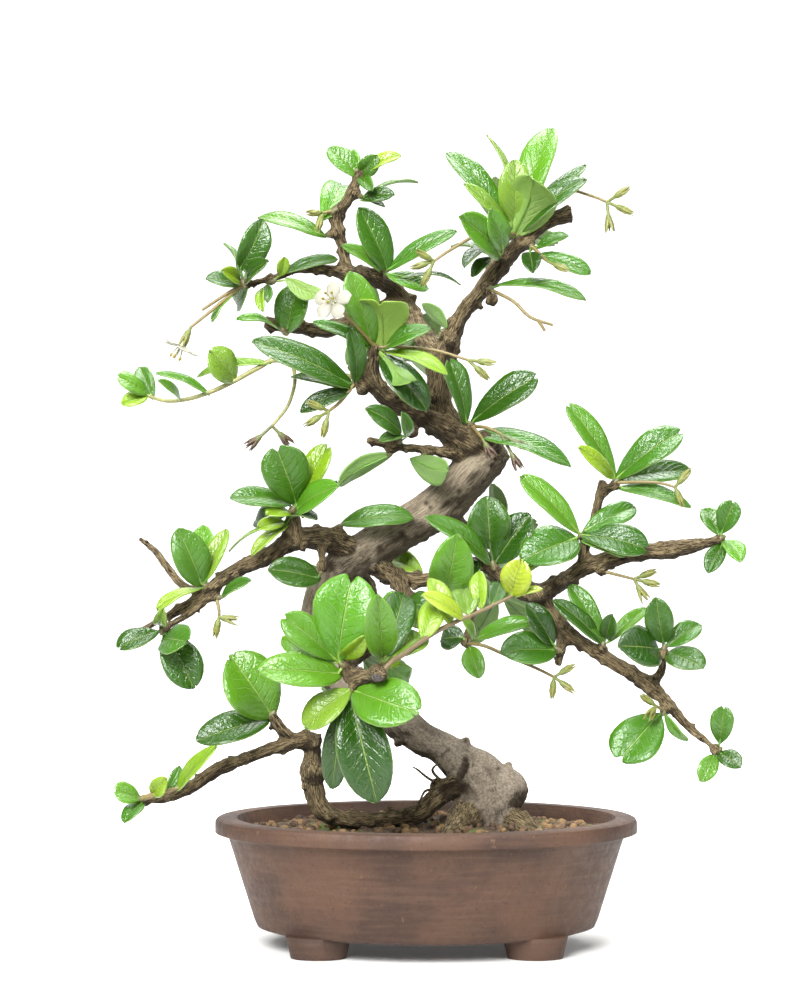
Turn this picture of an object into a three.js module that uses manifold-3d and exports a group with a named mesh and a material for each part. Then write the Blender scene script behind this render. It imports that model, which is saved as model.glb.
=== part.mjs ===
// A small fukien tea tree (Ehretia microphylla) trained as a bonsai, with its oval stoneware pot.
// Millimetres, +Z up. The origin is on the table, under the middle of the tree and its pot.

import * as THREE from 'three';
import { mergeVertices } from 'three/addons/utils/BufferGeometryUtils.js';
import Module from 'manifold-3d';

const wasm = await Module();
wasm.setup();

// Driving dimensions of the pot and its filling
const POT_LENGTH = 118;
const POT_WIDTH = 88;
const POT_HEIGHT = 36;
const FOOT_HEIGHT = 5;
const FOOT_LENGTH = 18;
const FOOT_WIDTH = 12.6;
const FOOT_TAPER = 0.84;
const FOOT_SPREAD = 0.25;
const FLOOR_THICKNESS = 4;
const WALL_THICKNESS = 4;
const RIM_BAND = 5;
const RIM_OVERHANG = 2;
const EDGE_BEVEL = 1;
const BASE_BEVEL = 3;
const BASE_SHARE = 0.8;
const DRAIN_DIAMETER = 9;
const DRAIN_OFFSET = 20;
const MESH_SIDE = 15;
const MESH_THICKNESS = 1;
const SOIL_EDGE_BELOW_RIM = 4;
const SOIL_DOME = 3;
const GAP = 0.3;

// Driving dimensions of the foliage and flowers
const LEAF_THICKNESS = 0.9;
const LEAF_FOLD = 0.22;
const LEAF_ARCH = 0.09;
const SMALL_LEAF = 5.7;
const STALK_WIDTH = 1.2;
const STALK_SUNK = 0.6;
const NODE_RADIUS = 2;
const SHOOT_WIDTH = 2;
const SHOOT_TAPER = 0.75;
const HEAD_WIDTH = 3;
const BUD_LENGTH = 3;
const CALYX_LENGTH = 3.6;
const CALYX_MOUTH = 3.4;
const CUP_MOUTH = 4.4;
const FLOWER_DIAMETER = 11;
const BLADE_CLEARANCE = 2.4;
const SPRAY_CLEARANCE = 1.3;
const STEM_CLEARANCE = 1.1;
const SEAT_CLEARANCE = 0.6;
const SWING_STEP = 2.5;
const SWING_TRIES = 9;

// The tree is laid out in the front view: [x, y] in photograph pixels, and a depth in millimetres, + away
const MM_PER_PIXEL = 0.28;
const VIEW_DISTANCE = 777.8;
const VIEW_CENTRE = [400, 500];
const VIEW_X = -7.3;
const VIEW_Z = 124.6;

const scaleAt = (depth) => MM_PER_PIXEL * (VIEW_DISTANCE + depth) / VIEW_DISTANCE;

function at([px, py, depth]) {
  const scale = scaleAt(depth);
  return new THREE.Vector3(
    VIEW_X + (px - VIEW_CENTRE[0]) * scale, depth, VIEW_Z - (py - VIEW_CENTRE[1]) * scale);
}

// Limbs: rows of [x, y, depth, thickness in pixels], from the root end to the tip
const LIMBS = {
  trunk: [
    [490, 862, 0, 54], [488, 832, 0, 66], [486, 803, -1, 68], [478, 780, -2, 60], [461, 763, -1, 42],
    [441, 748, 0, 34], [420, 736, 0, 34], [397, 719, 0, 37], [368, 700, 2, 41], [335, 670, 4, 42],
    [320, 635, 4, 38], [321, 603, 2, 36],
    [333, 576, 0, 38], [358, 556, 0, 43], [400, 531, 0, 43], [440, 505, 0, 45], [470, 474, 0, 46],
    [490, 457, 0, 38]],
  root_right: [[490, 812, 0, 46], [522, 828, -8, 28], [552, 845, -17, 14]],
  root_front: [[472, 812, -4, 40], [452, 832, -19, 22], [442, 848, -30, 12]],
  root_back: [[490, 812, 6, 42], [503, 830, 20, 24], [508, 848, 30, 12]],
  low_stem: [
    [468, 783, -4, 32], [447, 789, -6, 25], [432, 803, -8, 22], [418, 814, -9, 21], [385, 820, -12, 19],
    [345, 820, -15, 18],
    [321, 808, -16, 21], [314, 788, -16, 23], [313, 768, -16, 22], [313, 750, -16, 19],
    [312, 735, -17, 22]],
  low_branch: [
    [312, 737, -17, 20], [294, 742, -18, 18], [272, 749, -19, 14], [245, 759, -20, 13],
    [215, 771, -20, 15], [192, 787, -20, 15], [168, 797, -20, 11], [146, 801, -20, 7]],
  low_stub: [[294, 742, -18, 15], [281, 729, -19, 13], [272, 716, -20, 12]],
  left_branch: [
    [362, 556, 0, 32], [336, 543, -4, 27], [313, 538, -7, 25], [292, 541, -9, 22], [272, 554, -11, 20],
    [253, 563, -12, 18], [233, 572, -13, 16], [217, 584, -14, 13], [203, 595, -14, 12],
    [180, 609, -14, 11], [160, 620, -13, 8], [138, 632, -12, 6]],
  left_spur: [[296, 545, -9, 18], [292, 518, -11, 17]],
  left_twig: [[216, 592, -14, 8], [192, 612, -16, 7], [166, 627, -17, 6]],
  left_upper_twig: [
    [205, 592, -14, 9], [184, 586, -13, 9], [169, 570, -12, 8], [156, 552, -11, 7], [139, 538, -10, 5]],
  left_stub: [[322, 548, -8, 10], [322, 563, -9, 7]],
  right_branch: [
    [368, 556, 0, 30], [385, 572, -1, 22], [403, 579, -2, 16], [424, 580, -3, 14], [450, 574, -4, 14],
    [476, 564, -4, 14], [499, 575, -4, 16], [530, 593, -5, 21], [561, 582, -5, 19], [585, 566, -5, 17],
    [630, 554, -6, 17], [682, 548, -8, 18], [718, 541, -8, 9]],
  right_twig: [[583, 566, -5, 13], [585, 545, -5, 12], [595, 515, -6, 10], [603, 480, -6, 9]],
  right_twig_side: [[599, 494, -6, 8], [614, 488, -8, 7]],
  lower_right_branch: [
    [535, 590, -5, 21], [548, 608, -6, 19], [563, 629, -8, 19], [590, 648, -10, 15], [630, 673, -12, 16],
    [651, 687, -13, 18], [670, 705, -14, 12], [690, 728, -14, 9], [714, 747, -14, 6]],
  lower_right_spur: [[563, 632, -8, 14], [558, 666, -8, 8]],
  lower_right_twig: [[650, 684, -13, 14], [661, 672, -13, 10], [663, 656, -14, 8]],
  dark_branch: [
    [480, 452, 0, 36], [440, 427, -6, 24], [420, 415, -9, 21], [400, 405, -12, 20], [385, 396, -14, 20],
    [372, 380, -16, 19], [352, 363, -18, 16]],
  dark_knob: [[382, 392, -15, 16], [372, 372, -17, 17], [373, 354, -18, 12]],
  thin_lower: [[464, 456, -3, 16], [430, 450, -8, 9], [400, 447, -11, 9], [367, 440, -14, 8]],
  upper_limb: [
    [474, 460, 0, 38], [448, 428, 2, 31], [438, 400, 3, 28], [445, 355, 4, 25], [461, 317, 4, 17],
    [482, 291, 3, 16], [500, 267, 2, 17], [520, 245, 1, 17],
    [545, 224, 0, 14], [562, 216, -1, 16], [571, 214, -1, 20]],
  back_limb: [
    [441, 360, 4, 24], [421, 331, 14, 21], [405, 305, 20, 20], [390, 287, 17, 18], [370, 277, 8, 17],
    [346, 272, 0, 17]],
  crown_branch: [
    [350, 273, 0, 16], [325, 270, -2, 13], [305, 268, -3, 12], [290, 270, -4, 11], [278, 277, -4, 8],
    [262, 281, -4, 7], [247, 284, -4, 6]],
  crown_twig: [
    [347, 275, 0, 15], [343, 250, 0, 12], [338, 231, -1, 13], [336, 214, -1, 15], [345, 204, -1, 12],
    [352, 190, -1, 11], [358, 178, -1, 10]],
  stump_limb: [
    [404, 300, 20, 18], [380, 309, 17, 17], [355, 319, 14, 16], [330, 330, 11, 15], [300, 328, 8, 14],
    [265, 322, 6, 14]],
  front_branch: [
    [396, 573, -1, 18], [404, 600, -11, 15], [394, 632, -24, 14], [372, 646, -32, 15], [349, 664, -38, 16],
    [354, 678, -42, 17], [376, 675, -48, 15]],
  middle_twig: [[476, 566, -3, 10], [474, 602, 1, 8], [466, 641, -2, 8]],
  hidden_low: [[345, 560, 6, 24], [370, 592, 18, 16], [368, 622, 31, 12], [362, 650, 42, 8]],
  hidden_middle: [[440, 505, 6, 24], [466, 532, 18, 15], [488, 562, 31, 12], [498, 590, 43, 8]],
  hidden_upper: [[440, 398, 5, 20], [405, 385, 18, 14], [384, 362, 31, 10], [376, 338, 42, 7]],
  hidden_crown: [[480, 293, 5, 13], [494, 264, 18, 11], [508, 237, 34, 8]],
};

// Knots and healed cuts: [x, y, depth, diameter in pixels]
const KNOTS = [
  [490, 457, 0, 37], [505, 790, -3, 46], [313, 772, -17, 28], [336, 216, -1, 18], [346, 272, 0, 20],
  [652, 687, -13, 20]];

// Leafy sprays. A leaf row: blade base x, y; tip x, y; how far the tip stands behind its base in
// millimetres; width in pixels; turn about its midrib in degrees (0 shows the upper face); edge; tone
const ROUND = 'round';
const NOTCHED = 'notched';
const TOOTHED = 'toothed';
const SPRAYS = {
  crown_left: { root: [244, 284, -5],
    stalks: [
      { path: [[228, 293, -8], [202, 310, -9]], heads: [] },
      { path: [[216, 307, -10], [191, 327, -12]], heads: [[188, 333, -12, 'cup']] }],
    leaves: [
      [240, 268, 264, 220, -4, 29, 25, ROUND, 1], [240, 272, 224, 243, 3, 17, 72, ROUND, 2],
      [246, 269, 262, 243, 9, 20, 15, ROUND, 2], [247, 281, 265, 261, -10, 20, -30, ROUND, 1],
      [240, 280, 221, 270, -9, 16, 15, ROUND, 5], [239, 284, 206, 278, -3, 21, 20, ROUND, 1],
      [246, 289, 237, 305, 10, 18, 10, ROUND, 1], [236, 293, 213, 322, -5, 16, 72, ROUND, 3]] },
  crown_inner: { root: [271, 283, -6], leaves: [
    [281, 275, 285, 257, -3, 13, 10, ROUND, 5], [288, 280, 323, 294, -7, 20, 140, ROUND, 4],
    [268, 286, 268, 302, -3, 10, 0, ROUND, 2], [262, 289, 262, 311, -6, 10, 30, ROUND, 5],
    [286, 272, 338, 260, 8, 19, -40, ROUND, 1]] },
  stump_leaves: { root: [285, 333, 5], leaves: [
    [287, 330, 300, 283, -2, 37, -12, ROUND, 2], [276, 327, 237, 319, -4, 15, 50, ROUND, 3]] },
  crown_top: { root: [359, 172, -1], leaves: [
    [359, 176, 328, 148, 2, 24, 15, ROUND, 3], [358, 172, 347, 151, 6, 22, -20, ROUND, 3],
    [361, 172, 377, 156, -4, 20, 20, ROUND, 2], [367, 170, 400, 154, -3, 18, -30, ROUND, 5],
    [361, 176, 372, 190, -8, 14, 0, ROUND, 2]] },
  crown_side: { root: [334, 211, -3],
    stalks: [{ path: [[322, 213, -5]], heads: [[315, 213, -6, 'bud'], [320, 221, -6, 'bud']] }],
    leaves: [
      [326, 216, 344, 180, 9, 32, 0, ROUND, 3]] },
  crown_long: { root: [328, 236, -3], leaves: [
    [322, 235, 258, 214, -4, 25, 30, ROUND, 3]] },
  crown_right: { root: [358, 195, -2], leaves: [
    [365, 196, 418, 180, 2, 14, -62, ROUND, 2], [364, 197, 394, 194, -7, 18, -15, ROUND, 1],
    [362, 200, 385, 206, -4, 14, -50, ROUND, 1]] },
  fork_leaves: { root: [384, 270, 8], leaves: [
    [387, 268, 358, 207, -6, 35, 15, ROUND, 2], [380, 270, 344, 245, -12, 18, 30, ROUND, 3],
    [376, 262, 350, 247, 3, 14, 20, ROUND, 2], [391, 268, 457, 231, -5, 21, -25, ROUND, 2],
    [390, 276, 430, 287, 6, 20, -10, ROUND, 3],
    [404, 277, 462, 281, 8, 9, -55, ROUND, 1]] },
  dark_end: { root: [375, 347, -19],
    stalks: [
      { path: [[352, 322, -27], [341, 310, -30]], heads: [[338, 307, -32, 'cup']] },
      { path: [[400, 347, -20], [434, 350, -22], [468, 360, -24]],
        heads: [[485, 362, -25, 'bud'], [481, 372, -24, 'bud']] }],
    leaves: [
      [371, 343, 349, 271, -8, 35, 12, ROUND, 3], [383, 348, 380, 298, -12, 52, 168, NOTCHED, 5],
      [368, 347, 313, 322, -6, 19, 35, ROUND, 2], [385, 347, 430, 328, -6, 25, -30, ROUND, 2],
      [388, 352, 448, 373, -6, 20, -40, ROUND, 5], [386, 357, 413, 386, -12, 24, 150, ROUND, 3],
      [383, 358, 428, 410, -2, 34, -10, ROUND, 0]] },
  dark_under: { root: [351, 389, -19],
    stalks: [{ path: [[340, 402, -21], [329, 411, -23]],
      heads: [[317, 406, -24, 'bud'], [314, 420, -24, 'bud'], [325, 427, -23, 'bud']] }],
    leaves: [
      [349, 384, 252, 341, -10, 37, 22, ROUND, 1], [342, 386, 290, 374, 5, 19, 30, ROUND, 1],
      [348, 391, 300, 411, -3, 20, 20, ROUND, 0], [356, 381, 351, 329, -3, 20, 25, ROUND, 1]] },
  limb_leaf: { root: [439, 333, 1], leaves: [[446, 326, 422, 304, 2, 17, 150, ROUND, 2]] },
  middle_hang: { root: [402, 438, -15], leaves: [
    [400, 431, 368, 408, -8, 24, 20, ROUND, 1], [403, 436, 379, 441, -4, 14, 40, ROUND, 2],
    [408, 436, 402, 412, -9, 14, 20, ROUND, 2]] },
  middle_low: { root: [390, 454, -12], leaves: [
    [388, 456, 337, 485, -6, 25, 150, ROUND, 2]] },
  middle_round: { root: [427, 453, -10], leaves: [[413, 460, 447, 472, -10, 27, 165, ROUND, 2]] },
  top_right: { root: [513, 229, -2],
    stalks: [
      { path: [[487, 231, -10], [452, 249, -13], [434, 261, -14]],
        heads: [[425, 256, -15, 'bud'], [421, 265, -14, 'bud'], [427, 276, -14, 'bud']] },
      { path: [[545, 205, 3], [565, 190, 1], [592, 196, -2], [607, 202, -3]],
        heads: [[621, 193, -4, 'bud'], [623, 209, -4, 'bud'], [609, 222, -3, 'star']] }],
    leaves: [
      [508, 226, 448, 150, 2, 28, 22, TOOTHED, 2], [508, 231, 464, 183, -7, 18, 30, ROUND, 4],
      [512, 222, 488, 134, 8, 16, 68, ROUND, 4], [516, 222, 515, 160, -5, 34, -5, ROUND, 4],
      [520, 222, 550, 124, 5, 36, -15, TOOTHED, 3], [515, 233, 537, 176, -14, 49, 160, ROUND, 4],
      [523, 229, 585, 177, -4, 27, -28, TOOTHED, 1], [524, 226, 586, 166, 8, 18, -20, ROUND, 1]] },
  top_left_side: { root: [496, 252, -3], leaves: [
    [499, 253, 458, 216, -8, 36, 15, ROUND, 3], [503, 248, 489, 209, -3, 26, 10, ROUND, 3],
    [492, 246, 464, 268, -10, 18, 55, ROUND, 0], [490, 255, 451, 244, 4, 17, 55, ROUND, 0],
    [490, 258, 472, 276, -4, 14, 30, ROUND, 1]] },
  top_low_side: { root: [491, 291, -2],
    stalks: [
      { path: [[513, 301, -4], [530, 317, -6], [553, 325, -6]], heads: [] },
      { from: [538, 320, -6], path: [[545, 331, -6]], heads: [] }],
    leaves: [
      [501, 285, 586, 302, -5, 22, -52, ROUND, 2]] },
  top_right_side: { root: [534, 249, -3],
    stalks: [{ path: [[547, 261, -8]], heads: [[560, 267, -10, 'bud']] }],
    leaves: [
      [538, 247, 568, 235, -4, 15, -30, ROUND, 2], [540, 255, 591, 274, -4, 21, -18, TOOTHED, 2],
      [530, 253, 533, 272, -8, 20, 0, ROUND, 0]] },
  knuckle_top: { root: [472, 426, -3],
    stalks: [
      { path: [[488, 428, -9], [501, 434, -10]], heads: [[519, 444, -11, 'bud'], [515, 460, -11, 'star']] },
      { path: [[482, 438, -13]], heads: [[488, 449, -14, 'star']] }],
    leaves: [
      [466, 421, 448, 359, -4, 28, 28, NOTCHED, 2], [462, 421, 442, 373, 6, 15, 55, ROUND, 0],
      [474, 420, 538, 376, -6, 36, -20, NOTCHED, 1], [478, 434, 571, 461, -8, 34, -35, ROUND, 2]] },
  long_shoot: { root: [360, 378, -14],
    shoot: [[322, 372, -11], [278, 360, -9], [258, 368, -9], [238, 379, -9], [220, 388, -9],
      [205, 394, -9], [188, 399, -9], [168, 401, -9], [152, 397, -9], [136, 389, -9]],
    leaves: [
      [234, 380, 210, 350, -6, 33, 15, TOOTHED, 4], [266, 363, 197, 377, 6, 18, 48, ROUND, 4],
      [207, 393, 156, 373, -4, 17, 45, ROUND, 3], [180, 399, 161, 380, -7, 12, 40, ROUND, 3],
      [146, 394, 117, 376, -5, 22, 25, NOTCHED, 3], [146, 396, 122, 404, -4, 18, 20, ROUND, 5],
      [152, 397, 140, 366, 4, 19, 0, ROUND, 2]],
    stalks: [{ from: [293, 364, -9],
      path: [[295, 380, -12], [292, 395, -14], [286, 409, -15], [272, 426, -16]],
      heads: [[255, 441, -16, 'star'], [284, 438, -15, 'star']] }] },
  left_heart: { root: [293, 510, -13], leaves: [
    [296, 502, 275, 445, -8, 48, 10, NOTCHED, 2], [300, 501, 329, 445, -4, 30, -18, NOTCHED, 5],
    [288, 503, 230, 497, -6, 26, 28, ROUND, 2], [297, 509, 338, 486, -14, 32, -25, ROUND, 3],
    [304, 515, 337, 480, 4, 24, -40, ROUND, 1], [288, 511, 267, 513, -7, 21, 30, ROUND, 5],
    [293, 517, 316, 518, -9, 19, -55, ROUND, 0], [284, 522, 257, 528, -6, 16, 20, TOOTHED, 5],
    [286, 526, 251, 556, -5, 16, 38, ROUND, 5], [283, 524, 227, 549, 3, 9, 60, ROUND, 4],
    [282, 516, 254, 520, 7, 24, 20, ROUND, 0]] },
  left_long: { root: [338, 528, -6], leaves: [[345, 523, 413, 516, -3, 30, -28, ROUND, 2]] },
  left_under: { root: [323, 576, -10], leaves: [[318, 578, 268, 569, -6, 32, 15, ROUND, 1]] },
  left_end: { root: [205, 586, -17], leaves: [
    [201, 583, 178, 529, -6, 38, 15, ROUND, 2], [204, 579, 203, 525, 6, 25, 0, ROUND, 3],
    [207, 577, 227, 529, 0, 20, -20, ROUND, 4], [198, 589, 156, 608, -5, 17, 50, TOOTHED, 5]] },
  left_below: { root: [219, 600, -16],
    stalks: [{ path: [[219, 610, -17], [219, 617, -17]],
      heads: [[217, 627, -17, 'bud'], [228, 619, -17, 'star']] }],
    leaves: [[222, 597, 251, 580, -7, 18, -38, ROUND, 2]] },
  left_low: { root: [163, 629, -18], leaves: [
    [167, 636, 194, 688, -5, 40, -12, TOOTHED, 1], [164, 638, 190, 642, -13, 33, -10, NOTCHED, 2],
    [159, 625, 163, 610, -5, 14, 10, ROUND, 4], [157, 632, 118, 648, -5, 28, 25, NOTCHED, 1]] },
  trunk_right: { root: [494, 566, -6], leaves: [
    [497, 560, 530, 514, -3, 38, -12, ROUND, 0], [490, 546, 487, 497, 5, 44, 0, ROUND, 1],
    [488, 562, 430, 516, -9, 26, 32, ROUND, 2]] },
  trunk_front: { root: [453, 584, -8], leaves: [
    [445, 595, 457, 536, -6, 44, 5, ROUND, 3], [459, 584, 479, 561, 4, 22, -10, ROUND, 0]] },
  trunk_under: { root: [419, 570, 2], leaves: [[420, 571, 388, 557, 5, 27, 15, TOOTHED, 5]] },
  right_fork: { root: [577, 535, -8], leaves: [
    [576, 530, 520, 476, -3, 29, 20, TOOTHED, 3], [574, 539, 522, 560, -8, 48, 15, ROUND, 2],
    [583, 535, 648, 548, -6, 35, -22, NOTCHED, 1], [586, 530, 636, 506, 6, 26, -15, TOOTHED, 2],
    [584, 541, 625, 556, 5, 18, -35, ROUND, 3], [571, 546, 524, 574, 5, 15, 40, ROUND, 4]] },
  branch_calyx: { root: [602, 571, -7],
    stalks: [{ path: [[614, 574, -8], [634, 579, -9]],
      heads: [[647, 574, -9, 'bud'], [650, 583, -10, 'bud'], [641, 592, -9, 'star']] }],
    leaves: [] },
  right_top: { root: [615, 482, -9],
    stalks: [{ path: [[640, 482, -12], [660, 483, -14], [675, 487, -15]],
      heads: [[679, 497, -15, 'bud'], [683, 478, -15, 'bud']] }],
    leaves: [
      [614, 474, 567, 404, -3, 28, 20, NOTCHED, 3], [612, 477, 582, 448, -12, 18, 15, TOOTHED, 5],
      [618, 477, 681, 430, -4, 36, -22, NOTCHED, 2], [624, 478, 693, 469, 6, 26, -15, ROUND, 2],
      [622, 488, 691, 505, -5, 22, -32, ROUND, 2]] },
  young_shoot: { root: [383, 671, -50],
    shoot: [[392, 661, -49], [404, 654, -47], [434, 633, -42], [462, 619, -38], [485, 609, -36],
      [512, 596, -34]],
    leaves: [
      [462, 617, 423, 594, -6, 22, 28, ROUND, 6], [450, 622, 430, 577, 2, 22, 20, ROUND, 5],
      [424, 637, 437, 599, 4, 26, 0, ROUND, 5], [511, 594, 522, 560, -5, 32, -5, TOOTHED, 6],
      [516, 596, 542, 588, -4, 9, -40, ROUND, 6], [481, 607, 478, 571, 4, 19, -15, ROUND, 5],
      [468, 613, 464, 588, 6, 28, 0, ROUND, 4], [492, 605, 500, 581, 7, 20, 10, ROUND, 1]] },
  middle_bottom: { root: [468, 644, -4],
    stalks: [{ path: [[485, 646, -8], [510, 657, -10], [538, 669, -11], [554, 677, -11]],
      heads: [[553, 688, -11, 'bud'], [566, 686, -12, 'bud'], [566, 670, -10, 'bud']] }],
    leaves: [
      [480, 637, 533, 620, -6, 22, -28, ROUND, 3], [470, 648, 480, 678, -6, 22, 10, ROUND, 3],
      [474, 638, 463, 617, -7, 13, 30, ROUND, 4], [462, 637, 440, 639, 3, 27, 15, ROUND, 0]] },
  spur_leaves: { root: [559, 650, -10], leaves: [
    [553, 650, 500, 652, -6, 38, 20, ROUND, 2], [552, 643, 527, 603, 5, 26, 15, ROUND, 0]] },
  lower_right_top: { root: [604, 644, -13], leaves: [
    [600, 641, 553, 600, -4, 22, 28, ROUND, 1], [603, 638, 569, 585, 3, 22, 15, TOOTHED, 2],
    [606, 638, 612, 614, -6, 18, -10, ROUND, 1], [610, 640, 648, 608, 6, 16, -28, ROUND, 3]] },
  lower_right_mid: { root: [664, 649, -15], leaves: [
    [657, 649, 618, 646, -9, 44, 15, ROUND, 0], [663, 641, 656, 597, -4, 29, -10, ROUND, 1],
    [669, 645, 700, 624, 3, 24, -20, ROUND, 2], [669, 653, 704, 668, -8, 32, -20, ROUND, 1]] },
  lower_right_leaf: { root: [662, 713, -17],
    stalks: [{ path: [[656, 706, -20]], heads: [[648, 700, -21, 'bud'], [652, 712, -22, 'star']] }],
    leaves: [
      [658, 716, 618, 761, -8, 48, 10, NOTCHED, 2], [666, 716, 688, 742, 4, 12, 40, ROUND, 3]] },
  lower_right_end: { root: [717, 751, -15], leaves: [
    [720, 742, 724, 706, -4, 24, -10, NOTCHED, 2], [720, 753, 741, 768, -5, 22, -20, ROUND, 1],
    [714, 756, 701, 782, -3, 20, 10, ROUND, 3]] },
  right_end: { root: [720, 539, -9], leaves: [
    [722, 532, 734, 500, -3, 24, -10, NOTCHED, 2], [726, 541, 741, 560, -8, 22, -25, ROUND, 3],
    [722, 545, 708, 573, -5, 20, 20, ROUND, 1], [718, 533, 703, 508, 3, 20, 15, ROUND, 2]] },
  front_upper: { root: [341, 664, -42], leaves: [
    [338, 657, 352, 575, -5, 64, -5, NOTCHED, 3], [334, 658, 282, 616, -6, 35, 18, NOTCHED, 3],
    [338, 674, 259, 669, -10, 38, 15, ROUND, 3], [342, 657, 368, 634, -9, 18, 25, ROUND, 5],
    [328, 660, 281, 638, 6, 24, 10, ROUND, 3]] },
  front_middle: { root: [385, 659, -45], leaves: [
    [382, 655, 377, 592, -9, 33, 5, ROUND, 3], [387, 653, 405, 590, 6, 36, 0, ROUND, 1],
    [385, 663, 401, 662, -4, 9, 0, ROUND, 5], [390, 655, 424, 634, 8, 28, -10, ROUND, 4],
    [391, 668, 410, 680, 5, 26, 15, ROUND, 2]] },
  front_lower: { root: [352, 690, -44], leaves: [
    [355, 691, 420, 714, -13, 52, -6, TOOTHED, 3], [348, 691, 304, 727, -8, 36, 18, TOOTHED, 4],
    [352, 702, 377, 803, -3, 54, 0, ROUND, 0], [348, 704, 333, 789, 5, 30, 20, ROUND, 0]] },
  front_back: { root: [407, 606, -17], leaves: [
    [405, 606, 432, 606, -6, 32, -25, ROUND, 1], [397, 606, 386, 594, 2, 20, 10, ROUND, 3],
    [408, 610, 420, 627, -6, 18, 0, ROUND, 4]] },
  low_left: { root: [272, 714, -21], leaves: [
    [271, 714, 231, 656, -6, 58, 8, TOOTHED, 3], [266, 720, 196, 742, -6, 38, 25, ROUND, 1]] },
  low_end: { root: [141, 799, -23], leaves: [
    [178, 788, 217, 746, -5, 19, -28, ROUND, 5], [168, 790, 180, 766, 2, 11, 10, ROUND, 2],
    [152, 794, 166, 778, -6, 18, 0, ROUND, 5], [140, 798, 113, 790, -4, 24, 25, NOTCHED, 3],
    [142, 803, 124, 822, -6, 20, 30, ROUND, 2]],
    shoot: [[158, 793, -25], [180, 787, -25]] },
};

// Sprays behind the tree, grown by a rule: root, then the way the shoot heads, leaf count, reach
const BACK_SPRAYS = {
  back_low_a: { root: [361, 655, 44], heading: [0.1, 0.9, -0.4], count: 5, reach: 15 },
  back_low_b: { root: [358, 606, 26], heading: [-0.9, 0.4, 0.1], count: 5, reach: 15 },
  back_middle_a: { root: [499, 595, 45], heading: [0.1, 1, -0.2], count: 5, reach: 15 },
  back_middle_b: { root: [493, 538, 25], heading: [0.6, 0.6, 0.5], count: 5, reach: 14 },
  back_upper_a: { root: [376, 332, 44], heading: [-0.1, 0.9, 0.4], count: 5, reach: 15 },
  back_upper_b: { root: [400, 358, 28], heading: [0.5, 0.5, 0.6], count: 5, reach: 14 },
  back_crown: { root: [509, 232, 36], heading: [0, 0.8, 0.6], count: 5, reach: 12 },
};

const TONES = ['#2d5f2b', '#3d7a33', '#4f8f3a', '#6fae3f', '#8fb98a', '#a3c93c', '#c3dc52'];
const TOWARD_VIEWER = new THREE.Vector3(0, -1, 0);
const GOLDEN_TURN = 2.39996;

// Turns a closed three.js geometry into a solid that can be joined and cut
function solid(geometry) {
  const bare = geometry.index ? geometry.toNonIndexed() : geometry.clone();
  bare.deleteAttribute('normal');
  bare.deleteAttribute('uv');
  const merged = mergeVertices(bare, 1e-4);
  return new wasm.Manifold(new wasm.Mesh({
    numProp: 3,
    vertProperties: new Float32Array(merged.attributes.position.array),
    triVerts: new Uint32Array(merged.index.array),
  }));
}

function geometryOf(body) {
  const mesh = body.getMesh();
  const geometry = new THREE.BufferGeometry();
  geometry.setAttribute('position', new THREE.BufferAttribute(mesh.vertProperties, 3));
  geometry.setIndex(new THREE.BufferAttribute(mesh.triVerts, 1));
  geometry.computeVertexNormals();
  return geometry;
}

const joined = (bodies) => bodies.reduce((whole, body) => whole.add(body));

// A round limb along a smooth line through stops of { place, radius }. grow thickens it all over, and
// dent draws the middle of its far end inward, to make a cup
function limb(stops, sides, grow = 0, dent = 0) {
  const curve = new THREE.CatmullRomCurve3(stops.map((stop) => stop.place));
  const steps = stops.length - 1;
  const tube = new THREE.CylinderGeometry(1, 1, 1, sides, steps);
  const positions = tube.attributes.position;
  const rings = [];
  let across = new THREE.Vector3(0.2, 1, 0.1);
  for (let step = 0; step <= steps; step += 1) {
    const tangent = curve.getTangent(step / steps);
    across = across.clone().addScaledVector(tangent, -across.dot(tangent)).normalize();
    const push = (step === steps ? grow : 0) - (step === 0 ? grow : 0);
    rings.push({
      centre: stops[step].place.clone().addScaledVector(tangent, push),
      radius: stops[step].radius + grow,
      along: tangent,
      u: across,
      v: new THREE.Vector3().crossVectors(tangent, across),
    });
  }
  for (let i = 0; i < positions.count; i += 1) {
    const ring = rings[Math.round((0.5 + positions.getY(i)) * steps)];
    const onAxis = Math.hypot(positions.getX(i), positions.getZ(i)) < 0.5;
    const pulled = onAxis && positions.getY(i) > 0 ? dent : 0;
    const point = ring.centre.clone().addScaledVector(ring.along, -pulled)
      .addScaledVector(ring.v, positions.getX(i) * ring.radius)
      .addScaledVector(ring.u, positions.getZ(i) * ring.radius);
    positions.setXYZ(i, point.x, point.y, point.z);
  }
  return solid(tube);
}

function ball(place, radius, around, up) {
  const geometry = new THREE.SphereGeometry(radius, around, up);
  geometry.translate(place.x, place.y, place.z);
  return solid(geometry);
}

// The pot: an oval bowl with a banded rim, four feet and two drain holes
const OVAL = POT_WIDTH / POT_LENGTH;
const SEGMENTS = 24;

function innerRadius(z) {
  const [foot, lip] = [BASE_SHARE * POT_LENGTH / 2, POT_LENGTH / 2 - RIM_OVERHANG];
  return THREE.MathUtils.mapLinear(z, FOOT_HEIGHT, POT_HEIGHT, foot, lip) - WALL_THICKNESS;
}

function ovalLathe(profile) {
  const geometry = new THREE.LatheGeometry(profile.map(([r, z]) => new THREE.Vector2(r, z)), SEGMENTS);
  return geometry.rotateX(Math.PI / 2).scale(1, OVAL, 1);
}

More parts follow.
